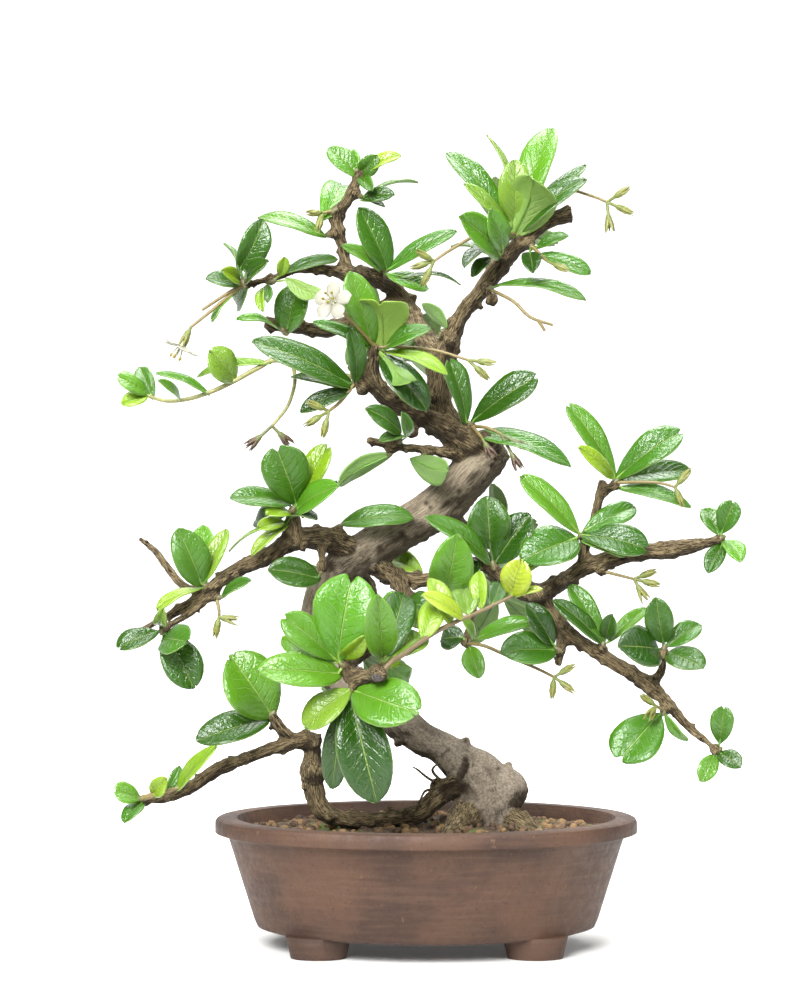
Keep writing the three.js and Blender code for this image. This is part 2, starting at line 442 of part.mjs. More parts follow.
function makePot() {
  const rim = POT_LENGTH / 2;
  const wall = (z) => innerRadius(z) + WALL_THICKNESS;
  const floor = FOOT_HEIGHT + FLOOR_THICKNESS;
  const band = POT_HEIGHT - RIM_BAND;
  const base = FOOT_HEIGHT + BASE_BEVEL;
  let pot = solid(ovalLathe([
    [0, FOOT_HEIGHT], [wall(FOOT_HEIGHT) - BASE_BEVEL, FOOT_HEIGHT], [wall(base), base],
    [wall(band), band], [rim, band + EDGE_BEVEL], [rim, POT_HEIGHT - EDGE_BEVEL],
    [rim - EDGE_BEVEL, POT_HEIGHT], [innerRadius(POT_HEIGHT), POT_HEIGHT], [innerRadius(floor), floor],
    [0, floor]]));
  for (const side of [-1, 1]) {
    for (const end of [-1, 1]) {
      const height = FOOT_HEIGHT + 1;
      const foot = new THREE.CylinderGeometry(FOOT_LENGTH / 2, FOOT_TAPER * FOOT_LENGTH / 2, height, 8);
      foot.rotateX(Math.PI / 2);
      foot.scale(1, FOOT_WIDTH / FOOT_LENGTH, 1);
      foot.translate(end * POT_LENGTH * FOOT_SPREAD, side * POT_WIDTH * FOOT_SPREAD, height / 2);
      pot = pot.add(solid(foot));
    }
    const radius = DRAIN_DIAMETER / 2;
    const drain = new THREE.CylinderGeometry(radius, radius, 4 * FLOOR_THICKNESS, 12);
    drain.rotateX(Math.PI / 2);
    drain.translate(side * DRAIN_OFFSET, 0, floor);
    pot = pot.subtract(solid(drain));
  }
  return pot;
}

function makeDrainMesh(side, grow = 0) {
  const across = MESH_SIDE + 2 * grow;
  const sheet = new THREE.BoxGeometry(across, across, MESH_THICKNESS + 2 * grow);
  sheet.translate(side * DRAIN_OFFSET, 0, FOOT_HEIGHT + FLOOR_THICKNESS + GAP + MESH_THICKNESS / 2);
  return solid(sheet);
}

// The soil fills the pot to below the rim, with a low dome and a surface of small lumps. Its outline is
// drawn in a little more than the gap, because an oval of straight sides is flatter than the wall
const SOIL_RINGS = 4;
const SOIL_INSET = 1.6 * GAP;
const SOIL_RELIEF = 0.35;

function makeSoil(roots) {
  const bottom = FOOT_HEIGHT + FLOOR_THICKNESS + GAP;
  const edge = POT_HEIGHT - SOIL_EDGE_BELOW_RIM;
  const edgeRadius = innerRadius(edge) - SOIL_INSET;
  const profile = [[0, bottom], [innerRadius(bottom) - SOIL_INSET, bottom]];
  for (let ring = 0; ring <= SOIL_RINGS; ring += 1) {
    const share = 1 - ring / SOIL_RINGS;
    profile.push([share * edgeRadius, edge + SOIL_DOME * (1 - share * share)]);
  }
  const geometry = ovalLathe(profile);
  const positions = geometry.attributes.position;
  for (let i = 0; i < positions.count; i += 1) {
    const [x, y, z] = [positions.getX(i), positions.getY(i), positions.getZ(i)];
    const lump = SOIL_RELIEF * Math.sin(1.9 * x + 3 * y) * Math.cos(2.3 * y - x);
    if (z > edge + GAP / 2) positions.setZ(i, z + lump);
  }
  let soil = solid(geometry);
  for (const side of [-1, 1]) soil = soil.subtract(makeDrainMesh(side, GAP));
  return soil.subtract(roots);
}

// The wood: every limb and knot grown together. grow makes it thicker, to cut its seat in a neighbour
function limbStops(rows) {
  return rows.map((row) => ({ place: at(row), radius: row[3] * scaleAt(row[2]) / 2 }));
}

function makeWood(grow = 0) {
  const sidesFor = ([[, , , thickness]]) => (thickness > 50 ? 8 : thickness > 12 ? 5 : 4);
  const limbs = Object.values(LIMBS).map((rows) => limb(limbStops(rows), sidesFor(rows), grow));
  const knots = KNOTS.map((knot) => ball(at(knot), knot[3] * scaleAt(knot[2]) / 2 + grow, 6, 3));
  return joined([...limbs, ...knots]);
}

// A line of stops as separate stretches, each with the name of what it belongs to
function segmentsOf(stops, owner) {
  return stops.slice(1).map((stop, i) => ({
    line: new THREE.Line3(stops[i].place, stop.place), owner,
    radius: Math.max(stop.radius, stops[i].radius) }));
}

const WOOD_SEGMENTS = Object.values(LIMBS).flatMap((rows) => segmentsOf(limbStops(rows), 'wood'));

// The root of a spray, drawn in to the nearest bark where it would stand off it
function seated(row) {
  const root = at(row);
  let nearest = { clear: Infinity };
  for (const { line, radius } of WOOD_SEGMENTS) {
    const foot = line.closestPointToPoint(root, true, new THREE.Vector3());
    const clear = foot.distanceTo(root) - radius;
    if (clear < nearest.clear) nearest = { clear, foot };
  }
  const inward = nearest.foot.sub(root);
  return root.addScaledVector(inward.normalize(), Math.max(nearest.clear - SEAT_CLEARANCE, 0));
}

// Outline of half a blade: shares of the length, shares of the half width, and where the midrib ends
const OUTLINES = {
  [ROUND]: { along: [0.4, 0.76, 0.95], half: [0.76, 1, 0.52], end: 1 },
  [NOTCHED]: { along: [0.42, 0.82, 1], half: [0.78, 1, 0.4], end: 0.92 },
  [TOOTHED]: { along: [0.38, 0.8, 0.92], half: [0.74, 1, 0.62], end: 1 },
};
const SMALL_OUTLINE = { along: [0.5, 0.93], half: [1, 0.55], end: 1 };
const outlineOf = (leaf) => (leaf.width < SMALL_LEAF ? SMALL_OUTLINE : OUTLINES[leaf.edge]);

// A point on a leaf: t runs from base to tip, out is millimetres from the midrib, lift is off the face
function onLeaf(leaf, t, out, lift) {
  const length = leaf.base.distanceTo(leaf.tip);
  const axis = leaf.tip.clone().sub(leaf.base).normalize();
  const side = new THREE.Vector3().crossVectors(leaf.face, axis);
  return leaf.base.clone().addScaledVector(axis, t * length).addScaledVector(side, out)
    .addScaledVector(leaf.face, lift + LEAF_ARCH * length * Math.sin(Math.PI * t));
}

// A leaf as a thin folded and arched blade that narrows to a three-sided stalk
function blade(leaf) {
  const { along, half, end } = outlineOf(leaf);
  const thick = LEAF_THICKNESS / 2;
  const stalk = leaf.root.clone().sub(leaf.base);
  stalk.setLength(Math.max(stalk.length() - STALK_SUNK, 0));
  const [left, top, right] = [[thick, -0.6 * thick], [0, thick], [-thick, -0.6 * thick]]
    .map(([out, lift]) => onLeaf(leaf, 0, out, lift).add(stalk));
  const rings = along.map((t, i) => {
    const out = half[i] * leaf.width / 2;
    const last = i === along.length - 1;
    const middle = last ? end : t;
    const rise = last ? 0.3 * thick : thick;
    return [
      onLeaf(leaf, t, out, out * LEAF_FOLD), onLeaf(leaf, middle, 0, rise),
      onLeaf(leaf, t, -out, out * LEAF_FOLD), onLeaf(leaf, middle, 0, -rise)];
  });
  const triangles = [];
  const quad = (a, b, c, d) => triangles.push(a, b, c, a, c, d);
  const [first] = rings;
  triangles.push(right, top, left, right, left, first[3]);
  quad(left, top, first[1], first[0]);
  quad(top, right, first[2], first[1]);
  triangles.push(right, first[3], first[2], left, first[0], first[3]);
  for (let i = 0; i < rings.length - 1; i += 1) {
    for (let k = 0; k < 4; k += 1) {
      quad(rings[i][k], rings[i][(k + 1) % 4], rings[i + 1][(k + 1) % 4], rings[i + 1][k]);
    }
  }
  quad(...rings[rings.length - 1]);
  return solid(new THREE.BufferGeometry().setFromPoints(triangles));
}

// The nearest place on a shoot, a line of [x, y, depth] stops, to a leaf's base in the front view
function nearestOnShoot(stops, bx, by) {
  let best = { miss: Infinity, place: stops[0] };
  for (let i = 0; i + 1 < stops.length; i += 1) {
    for (let share = 0; share <= 1; share += 0.125) {
      const place = stops[i].map((value, k) => value + share * (stops[i + 1][k] - value));
      const miss = Math.hypot(place[0] - bx, place[1] - by);
      if (miss < best.miss) best = { miss, place };
    }
  }
  return best.place;
}

// The leaf rows of a spray as leaves in millimetres. swing moves a tip along the line of sight
function drawnLeaves(spray) {
  return spray.leaves.map(([bx, by, tx, ty, reach, width, turn, edge, tone]) => {
    const root = nearestOnShoot([spray.root, ...(spray.shoot ?? [])], bx, by);
    return {
      root: spray.shoot ? at(root) : seated(root), base: at([bx, by, root[2]]), edge, tone,
      tipAt: (swing) => at([tx, ty, root[2] + reach + swing]),
      width: width * scaleAt(root[2]),
      faceAlong: (axis) => TOWARD_VIEWER.clone().addScaledVector(axis, -TOWARD_VIEWER.dot(axis))
        .normalize().applyAxisAngle(axis, THREE.MathUtils.degToRad(turn)),
    };
  });
}

// A repeatable draw between 0 and 1
function draw(seed) {
  const value = Math.sin(seed * 127.1 + 311.7) * 43758.5453;
  return value - Math.floor(value);
}

// The leaves of a spray that grows by rule: a spiral of leaves that open away from the shoot's heading
function grownLeaves({ root, heading, count, reach }, seed) {
  const start = at(root);
  const way = new THREE.Vector3(...heading).normalize();
  const u = new THREE.Vector3(0, 0, 1).cross(way).normalize();
  const v = new THREE.Vector3().crossVectors(way, u);
  return Array.from({ length: count }, (_, i) => {
    const around = GOLDEN_TURN * i + draw(seed);
    const open = 0.55 + 0.75 * i / count + 0.25 * draw(seed + i);
    const length = reach * (0.8 + 0.5 * draw(seed + i + 40));
    const out = u.clone().multiplyScalar(Math.cos(around)).addScaledVector(v, Math.sin(around));
    const axis = way.clone().multiplyScalar(Math.cos(open)).addScaledVector(out, Math.sin(open));
    return {
      root: seated(root), base: start.clone().addScaledVector(axis, 2.5),
      edge: [ROUND, NOTCHED, TOOTHED][i % 3], tone: i % 3,
      tipAt: (swing) => start.clone().addScaledVector(axis, 2.5 + length)
        .add(new THREE.Vector3(0, swing, 0)),
      width: length * (0.42 + 0.12 * draw(seed + i + 80)),
      faceAlong: (line) => way.clone().addScaledVector(line, -way.dot(line)).normalize(),
    };
  });
}

// Leaves keep clear of each other and of the wood: a tip swings back or forth until its blade is free
const stemStops = (rows, radius) => rows.map((row) => ({ place: at(row), radius }));

const STEMS = [
  ...WOOD_SEGMENTS,
  ...Object.entries(SPRAYS).flatMap(([name, { root, shoot = [], stalks = [] }]) => [
    ...segmentsOf(stemStops([root, ...shoot], SHOOT_WIDTH / 2), name),
    ...stalks.flatMap(({ from = root, path, heads }) => [
      ...segmentsOf(stemStops([from, ...path], STALK_WIDTH / 2), name),
      ...heads.flatMap((head) => segmentsOf(stemStops([path[path.length - 1], head], HEAD_WIDTH / 2), name)),
    ]),
  ]),
];

function bladeSamples(leaf) {
  const { half } = outlineOf(leaf);
  const samples = [];
  for (const t of [0.3, 0.45, 0.6, 0.72, 0.84, 0.96]) {
    const reach = (t < 0.5 ? half[0] + 0.1 : t < 0.9 ? 0.95 : 0.5) * leaf.width / 2;
    for (const share of [-1, -0.35, 0.35, 1]) {
      const out = share * reach;
      samples.push({ t, place: onLeaf(leaf, t, out, Math.abs(out) * LEAF_FOLD) });
    }
  }
  return samples;
}

function freedom(samples, spray, placed) {
  let least = Infinity;
  const nearest = new THREE.Vector3();
  for (const { t, place } of samples) {
    for (const { line, radius, owner } of STEMS) {
      if (owner === spray || (owner === 'wood' && t < 0.4)) continue;
      line.closestPointToPoint(place, true, nearest);
      least = Math.min(least, nearest.distanceTo(place) - radius - STEM_CLEARANCE);
    }
    for (const other of placed) {
      if (other.spray === spray && (t < 0.5 || other.t < 0.5)) continue;
      const needed = other.spray === spray ? SPRAY_CLEARANCE : BLADE_CLEARANCE;
      least = Math.min(least, other.place.distanceTo(place) - needed);
    }
    if (least < -BLADE_CLEARANCE) return least;
  }
  return least;
}

function settle(leaf, spray, placed) {
  let best = { free: -Infinity };
  for (let attempt = 0; attempt < SWING_TRIES; attempt += 1) {
    const swing = SWING_STEP * Math.ceil(attempt / 2) * (attempt % 2 ? -1 : 1);
    const tip = leaf.tipAt(swing);
    const face = leaf.faceAlong(tip.clone().sub(leaf.base).normalize());
    const candidate = { ...leaf, tip, face };
    const samples = bladeSamples(candidate);
    const free = freedom(samples, spray, placed);
    if (free > best.free) best = { free, candidate, samples };
    if (free >= 0) break;
  }
  for (const sample of best.samples) placed.push({ ...sample, spray });
  return best.candidate;
}

// The head of a stalk: a closed bud, an open five-cornered calyx, or the wide calyx under a flower
function makeHead([px, py, depth, kind], from) {
  const place = at([px, py, depth]);
  const way = place.clone().sub(from).normalize();
  const along = (distance, radius) => ({ place: place.clone().addScaledVector(way, distance), radius });
  const stem = { place: from, radius: STALK_WIDTH / 2 };
  if (kind === 'bud') {
    return limb([stem, along(-0.2 * BUD_LENGTH, HEAD_WIDTH / 2), along(BUD_LENGTH, 0.4)], 4);
  }
  const foot = kind === 'cup' ? 0 : -CALYX_LENGTH / 2;
  const mouth = kind === 'cup' ? CUP_MOUTH : CALYX_MOUTH;
  const stops = [stem, along(foot, STALK_WIDTH / 2), along(foot + CALYX_LENGTH, mouth / 2)];
  return limb(stops, 5, 0, CALYX_LENGTH / 2);
}

function makeStalk({ from, path, heads }, root) {
  const start = from ? at(from) : root;
  const stops = [start, ...path.map(at)].map((place) => ({ place, radius: STALK_WIDTH / 2 }));
  const end = stops[stops.length - 1].place;
  return joined([limb(stops, 3), ...heads.map((head) => makeHead(head, end))]);
}

// A spray in one piece: leaves, shoot and stalks fused to a node that stands on the bark
function makeSpray(name, spray, leaves, thickerWood) {
  const root = spray.shoot ? at(spray.root) : seated(spray.root);
  const parts = [ball(root, NODE_RADIUS, 4, 2), ...leaves.map(blade)];
  if (spray.shoot) {
    const stops = [root, ...spray.shoot.map(at)].map((place) => ({ place, radius: SHOOT_WIDTH / 2 }));
    stops[stops.length - 1].radius *= SHOOT_TAPER;
    parts.push(limb(stops, 4));
  }
  for (const stalk of spray.stalks ?? []) parts.push(makeStalk(stalk, root));
  const pieces = joined(parts).subtract(thickerWood).decompose();
  const volumes = pieces.map((piece) => piece.volume());
  const largest = volumes.indexOf(Math.max(...volumes));
  const lost = volumes.reduce((sum, volume) => sum + volume, 0) - volumes[largest];
  if (lost > 8) throw new Error(`${name} falls apart: ${lost.toFixed(1)} mm3 is loose`);
  return pieces[largest];
}

// An open flower: a corolla of five round lobes on a throat, with five stamens, clear of its calyx
const LOBES = 5;
const CUP_DEPTH = 2.1;
const THROAT_WIDTH = 2.2;
const THROAT_LENGTH = 1.9;
const PETAL_THICKNESS = 0.6;
const NOTCH_SHARE = 0.7;
const STAMEN_HEIGHT = 5.4;
const STAMEN_SPREAD = 1.7;

function makeCorolla() {
  const [rim, throat] = [FLOWER_DIAMETER / 2, THROAT_WIDTH / 2];
  const flare = THROAT_LENGTH + 2 * PETAL_THICKNESS;
  const profile = [
    [0, 0], [throat / 2, 0], [throat, THROAT_LENGTH], [rim, flare], [rim, flare + PETAL_THICKNESS],
    [0, THROAT_LENGTH + PETAL_THICKNESS]];
  const corolla = new THREE.LatheGeometry(profile.map(([r, z]) => new THREE.Vector2(r, z)), 2 * LOBES);
  const positions = corolla.attributes.position;
  for (let i = 0; i < positions.count; i += 1) {
    const [x, y, z] = [positions.getX(i), positions.getY(i), positions.getZ(i)];
    const lobed = NOTCH_SHARE + (1 - NOTCH_SHARE) * Math.abs(Math.cos(LOBES / 2 * Math.atan2(x, z)));
    if (Math.hypot(x, z) > throat + GAP) positions.setXYZ(i, lobed * x, y, lobed * z);
  }
  return solid(corolla);
}

function makeStamen(i) {
  const around = (i + 0.5) * 2 * Math.PI / LOBES;
  const away = new THREE.Vector3(Math.cos(around), 0, Math.sin(around));
  const foot = new THREE.Vector3(0, THROAT_LENGTH, 0).addScaledVector(away, STAMEN_SPREAD / 3);
  const tip = new THREE.Vector3(0, STAMEN_HEIGHT, 0).addScaledVector(away, STAMEN_SPREAD);
  return limb([{ place: foot, radius: 0.35 }, { place: tip, radius: 0.55 }], 3);
}

function makeFlower([cup, stem]) {
  const foot = at(cup);
  const way = foot.clone().sub(at(stem)).normalize();
  const stamens = Array.from({ length: LOBES }, (_, i) => makeStamen(i));
  const geometry = geometryOf(joined([makeCorolla(), ...stamens]));
  const up = new THREE.Vector3(0, 1, 0);
  geometry.applyQuaternion(new THREE.Quaternion().setFromUnitVectors(up, way));
  const seat = foot.addScaledVector(way, CUP_DEPTH + GAP);
  return solid(geometry.translate(seat.x, seat.y, seat.z));
}

const FLOWERS = {
  flower_front: [[338, 307, -32], [341, 310, -30]],
  flower_left: [[188, 333, -12], [191, 327, -12]],
};

const tree = new THREE.Group();

function addPiece(name, body, color, roughness) {
  const material = new THREE.MeshStandardMaterial({ color, roughness, metalness: 0 });
  const mesh = new THREE.Mesh(geometryOf(body), material);
  mesh.name = name;
  tree.add(mesh);
}

const thickerWood = makeWood(GAP);
addPiece('pot', makePot(), '#5b4336', 0.8);
addPiece('drain_mesh_left', makeDrainMesh(-1), '#26302a', 0.5);
addPiece('drain_mesh_right', makeDrainMesh(1), '#26302a', 0.5);
addPiece('soil', makeSoil(thickerWood), '#3b3029', 0.95);
addPiece('wood', makeWood(), '#7d7058', 0.85);

const placed = [];

function addSpray(name, spray, rows) {
  const leaves = rows.map((leaf) => settle(leaf, name, placed));
  const tone = leaves.length ? leaves[0].tone : 3;
  addPiece(name, makeSpray(name, spray, leaves, thickerWood), TONES[tone], 0.4);
}

for (const [name, spray] of Object.entries(SPRAYS)) addSpray(name, spray, drawnLeaves(spray));
Object.entries(BACK_SPRAYS).forEach(([name, spray], i) => addSpray(name, spray, grownLeaves(spray, 100 * i)));
for (const [name, stops] of Object.entries(FLOWERS)) addPiece(name, makeFlower(stops), '#f1efe4', 0.5);

export default tree;
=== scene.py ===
# %% [markdown]
# # A fukien tea bonsai in its pot
# A fukien tea is a small evergreen tree with glossy, round-tipped leaves and tiny white flowers. This one
# has a trunk that bends three times, branches in layers, and an oval stoneware pot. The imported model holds
# every piece as a plain solid at its real size. This lesson gives each of them its real surface: bark,
# folded and veined leaves, petals, grains of soil and fired clay. Nothing here moves a piece.

# %% Load the frame
import math

import bpy
import numpy as np
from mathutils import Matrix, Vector, noise


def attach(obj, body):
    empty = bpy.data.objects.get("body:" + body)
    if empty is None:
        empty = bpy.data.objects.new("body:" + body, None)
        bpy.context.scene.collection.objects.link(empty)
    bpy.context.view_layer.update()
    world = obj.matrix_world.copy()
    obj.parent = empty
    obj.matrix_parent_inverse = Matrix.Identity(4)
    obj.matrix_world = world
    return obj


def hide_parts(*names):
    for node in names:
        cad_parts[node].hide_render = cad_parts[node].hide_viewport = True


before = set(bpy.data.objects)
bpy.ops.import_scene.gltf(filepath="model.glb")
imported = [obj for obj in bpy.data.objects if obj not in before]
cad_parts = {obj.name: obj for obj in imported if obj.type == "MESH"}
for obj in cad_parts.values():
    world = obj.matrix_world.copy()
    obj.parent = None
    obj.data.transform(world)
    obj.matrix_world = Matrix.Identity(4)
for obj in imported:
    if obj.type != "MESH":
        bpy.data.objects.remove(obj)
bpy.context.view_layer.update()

print("frame loaded:", len(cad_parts), "nodes")

# %% [markdown]
# ## The view
# The tree is laid out in its front view, so that every limb and leaf keeps the place it has there. A stop
# is [x, y, depth]: x and y are pixels of the 800 x 1000 view and the depth is in millimetres, away from
# the viewer. A level camera with a long lens sees 0.28 mm in a pixel at the trunk. All sums are in
# millimetres, because leaves and twigs are small, and become metres when a mesh is written.

# %% Places and the camera
MM = 0.001
MM_PER_PIXEL = 0.28
VIEW_DISTANCE = 777.8
VIEW_HEIGHT = 1000
VIEW_CENTRE = (400, 500)
VIEW_X = -7.3
VIEW_Z = 124.6


def scale_at(depth):
    return MM_PER_PIXEL * (VIEW_DISTANCE + depth) / VIEW_DISTANCE


def at(stop):
    """The place of a stop, in millimetres."""
    px, py, depth = stop[:3]
    scale = scale_at(depth)
    return np.array([
        VIEW_X + (px - VIEW_CENTRE[0]) * scale, depth, VIEW_Z - (py - VIEW_CENTRE[1]) * scale])


bpy.ops.object.select_all(action="DESELECT")
bpy.ops.object.camera_add(
    location=(VIEW_X * MM, -VIEW_DISTANCE * MM, VIEW_Z * MM), rotation=(math.pi / 2, 0, 0))
camera = bpy.context.object
camera.data.sensor_width = 36
camera.data.lens = camera.data.sensor_width * VIEW_DISTANCE / (VIEW_HEIGHT * MM_PER_PIXEL)
camera.data.clip_start = 0.01
camera.data.clip_end = 20
bpy.context.scene.camera = camera
print("lens:", round(camera.data.lens, 1), "mm")

# %% [markdown]
# ## Small helpers
# A tube along a smooth line is the start of every limb, shoot and stalk: a curve object with a radius at
# each point and a round bevel, turned into a mesh. Whatever varies from leaf to leaf is drawn from a seed,
# which keeps every run of this lesson the same.

# %% Lines and draws


def unit(vector):
    return vector / np.linalg.norm(vector)


def across(way):
    """Two directions square to way and to each other."""
    helper = np.array([0, 0, 1.0]) if abs(way[2]) < 0.8 else np.array([1.0, 0, 0])
    first = unit(np.cross(helper, way))
    return first, np.cross(way, first)


def spoke(first, second, angle):
    """The direction at an angle from first towards second."""
    return first * math.cos(angle) + second * math.sin(angle)


def draw(seed):
    """A number from 0 to 1 that looks random but depends on its seed alone."""
    value = math.sin(seed * 127.1 + 311.7) * 43758.5453
    return value - math.floor(value)


def smooth_line(places, radii, steps):
    """The same line with more stops, on a curve that passes through all of them."""
    places = np.array(places)
    radii = np.array(radii)
    before = np.vstack([2 * places[:1] - places[1:2], places[:-1]])
    after = np.vstack([places[1:], 2 * places[-1:] - places[-2:-1]])
    slopes = (after - before) / 2
    line, widths = [], []
    for i in range(len(places) - 1):
        for share in np.arange(steps) / steps:
            a = 2 * share**3 - 3 * share**2 + 1
            b = share**3 - 2 * share**2 + share
            c = share**3 - share**2
            line.append(a * places[i] + b * slopes[i] + (1 - a) * places[i + 1] + c * slopes[i + 1])
            widths.append(a * radii[i] + (1 - a) * radii[i + 1])
    return np.array(line + [places[-1]]), np.array(widths + [radii[-1]])


print("three draws:", [round(draw(seed), 2) for seed in range(3)])

# %% Tubes and the data of a mesh


def add_tubes(name, lines, resolution):
    """One mesh of round tubes, each along a line of places with a radius at each."""
    bpy.ops.object.select_all(action="DESELECT")
    bpy.ops.curve.primitive_bezier_curve_add()
    tubes = bpy.context.object
    tubes.name = name
    curve = tubes.data
    curve.splines.clear()
    for places, radii in lines:
        spline = curve.splines.new("POLY")
        spline.points.add(len(places) - 1)
        for point, place, radius in zip(spline.points, places, radii):
            point.co = (*(place * MM), 1)
            point.radius = radius * MM
    curve.bevel_depth = 1
    curve.bevel_resolution = resolution
    curve.use_fill_caps = True
    bpy.ops.object.convert(target="MESH")
    return tubes


def coordinates(mesh):
    places = np.empty(3 * len(mesh.vertices))
    mesh.vertices.foreach_get("co", places)
    return places.reshape(-1, 3)


def set_coordinates(mesh, places):
    mesh.vertices.foreach_set("co", np.ascontiguousarray(places, dtype=np.float32).ravel())
    mesh.update()


def set_attribute(mesh, name, kind, values):
    """Writes one value, or one for each point, into a point attribute of this kind."""
    layer = mesh.attributes.get(name) or mesh.attributes.new(name, kind, "POINT")
    fields = {"FLOAT": ("value", 1), "FLOAT_VECTOR": ("vector", 3), "FLOAT_COLOR": ("color", 4)}
    field, width = fields[kind]
    values = np.broadcast_to(np.asarray(values, dtype=np.float32), (len(mesh.vertices), width))
    layer.data.foreach_set(field, np.ascontiguousarray(values).ravel())


# %% Selecting, joining and finishing


def select_only(*pieces):
    """Selects these pieces and nothing else, and makes the first one active."""
    bpy.ops.object.select_all(action="DESELECT")
    for piece in pieces:
        piece.select_set(True)
    bpy.context.view_layer.objects.active = pieces[0]


def join(parts, name):
    select_only(*parts)
    if len(parts) > 1:
        bpy.ops.object.join()
    parts[0].name = name
    return parts[0]


def copy_of(original, name):
    piece = original.copy()
    piece.data = original.data.copy()
    piece.name = name
    bpy.context.collection.objects.link(piece)
    return piece


def apply_modifier(piece, kind, **settings):
    bpy.context.view_layer.objects.active = piece
    modifier = piece.modifiers.new(kind, kind)
    for key, value in settings.items():
        setattr(modifier, key, value)
    bpy.ops.object.modifier_apply(modifier=modifier.name)


def settle_transform(piece):
    """Moves a piece's place, turn and scale into its mesh."""
    select_only(piece)
    bpy.ops.object.transform_apply(location=True, rotation=True, scale=True)


def shade_smooth(piece, degrees=None):
    """Shades a piece smooth, all over or only where its faces meet at less than an angle."""
    select_only(piece)
    if degrees is None:
        bpy.ops.object.shade_smooth()
    else:
        bpy.ops.object.shade_smooth_by_angle(angle=math.radians(degrees))


def finish_piece(piece, material, node):
    """Gives a piece its material and its place in the frame."""
    piece.data.materials.clear()
    piece.data.materials.append(material)
    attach(piece, "root")
    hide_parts(node)
    print(piece.name, len(piece.data.polygons), "faces")


# %% [markdown]
# ## Building a material
# A material is a small tree of nodes. These helpers add a node with its settings and inputs in one line,
# so that each material below reads like a recipe: shades is a first coat between two colours, stained
# lays another colour over it in places, and dress hands the result and its bumps to the shader. Positions
# come from Object coordinates in metres or from attributes that the meshes carry.

# %% Nodes


def colour(code):
    """A colour from its code on the screen, as the linear values that a shader mixes."""
    channels = [int(code[i:i + 2], 16) / 255 for i in (1, 3, 5)]
    return (*[c / 12.92 if c <= 0.04045 else ((c + 0.055) / 1.055)**2.4 for c in channels], 1)


def add_node(tree, kind, inputs=None, **settings):
    """A node with its settings and inputs, where an input is a socket, a value or a colour's code."""
    node = tree.nodes.new("ShaderNode" + kind)
    for key, value in settings.items():
        setattr(node, key, value)
    for key, value in (inputs or {}).items():
        if isinstance(value, bpy.types.NodeSocket):
            tree.links.new(value, node.inputs[key])
        else:
            node.inputs[key].default_value = colour(value) if isinstance(value, str) else value
    return node


def maths(tree, operation, first, second=0.0, clamp=False):
    return add_node(tree, "Math", {0: first, 1: second}, operation=operation, use_clamp=clamp).outputs[0]


def product(tree, first, second):
    return maths(tree, "MULTIPLY", first, second)


def total(tree, first, second):
    return maths(tree, "ADD", first, second)


def mix_colours(tree, factor, first, second, blend="MIX"):
    inputs = {0: factor, 6: first, 7: second}
    return add_node(tree, "Mix", inputs, data_type="RGBA", blend_type=blend).outputs[2]


def remap(tree, value, low, high, to_low=0.0, to_high=1.0):
    inputs = {0: value, 1: low, 2: high, 3: to_low, 4: to_high}
    return add_node(tree, "MapRange", inputs, interpolation_type="SMOOTHSTEP").outputs[0]


def split(tree, vector):
    return add_node(tree, "SeparateXYZ", {0: vector}).outputs


def stretched(tree, vector, along):
    return add_node(tree, "Mapping", {"Vector": vector, "Scale": (1, 1, along)}).outputs[0]


def noise_at(tree, vector, scale, detail, roughness=0.55):
    inputs = {"Vector": vector, "Scale": scale, "Detail": detail, "Roughness": roughness}
    return add_node(tree, "TexNoise", inputs).outputs[0]


def attribute(tree, name, output="Fac"):
    return add_node(tree, "Attribute", attribute_name=name).outputs[output]


print("mid grey, linear:", round(colour("#808080")[0], 3))

# %% Steps of a material


def new_material(name, roughness):
    """A new material with its tree, its shader and the place on the object."""
    material = bpy.data.materials.new(name)
    material.use_nodes = True
    tree = material.node_tree
    shader = tree.nodes["Principled BSDF"]
    shader.inputs["Roughness"].default_value = roughness
    place = add_node(tree, "TexCoord").outputs["Object"]
    return material, tree, shader, place


def shades(tree, value, low, high, dark, light):
    """A colour that goes from dark to light as a value goes from low to high."""
    return mix_colours(tree, remap(tree, value, low, high), dark, light)


def stained(tree, value, low, high, base, stain, most=1.0):
    """The base with a stain over it, which grows to its most as a value goes from low to high."""
    return mix_colours(tree, remap(tree, value, low, high, 0, most), base, stain)


def dress(tree, shader, base, height, strength, distance):
    """Gives the shader its base colour and its bumps."""
    tree.links.new(base, shader.inputs["Base Color"])
    bump = add_node(tree, "Bump", {"Height": height, "Strength": strength, "Distance": distance})
    tree.links.new(bump.outputs[0], shader.inputs["Normal"])


def let_light_through(tree, shader, glow, share):
    """Lets a share of the light shine through a thin leaf or petal."""
    through = add_node(tree, "BsdfTranslucent", {"Color": glow})
    both = add_node(tree, "MixShader", {0: share, 1: shader.outputs[0], 2: through.outputs[0]})
    tree.links.new(both.outputs[0], tree.nodes["Material Output"].inputs["Surface"])
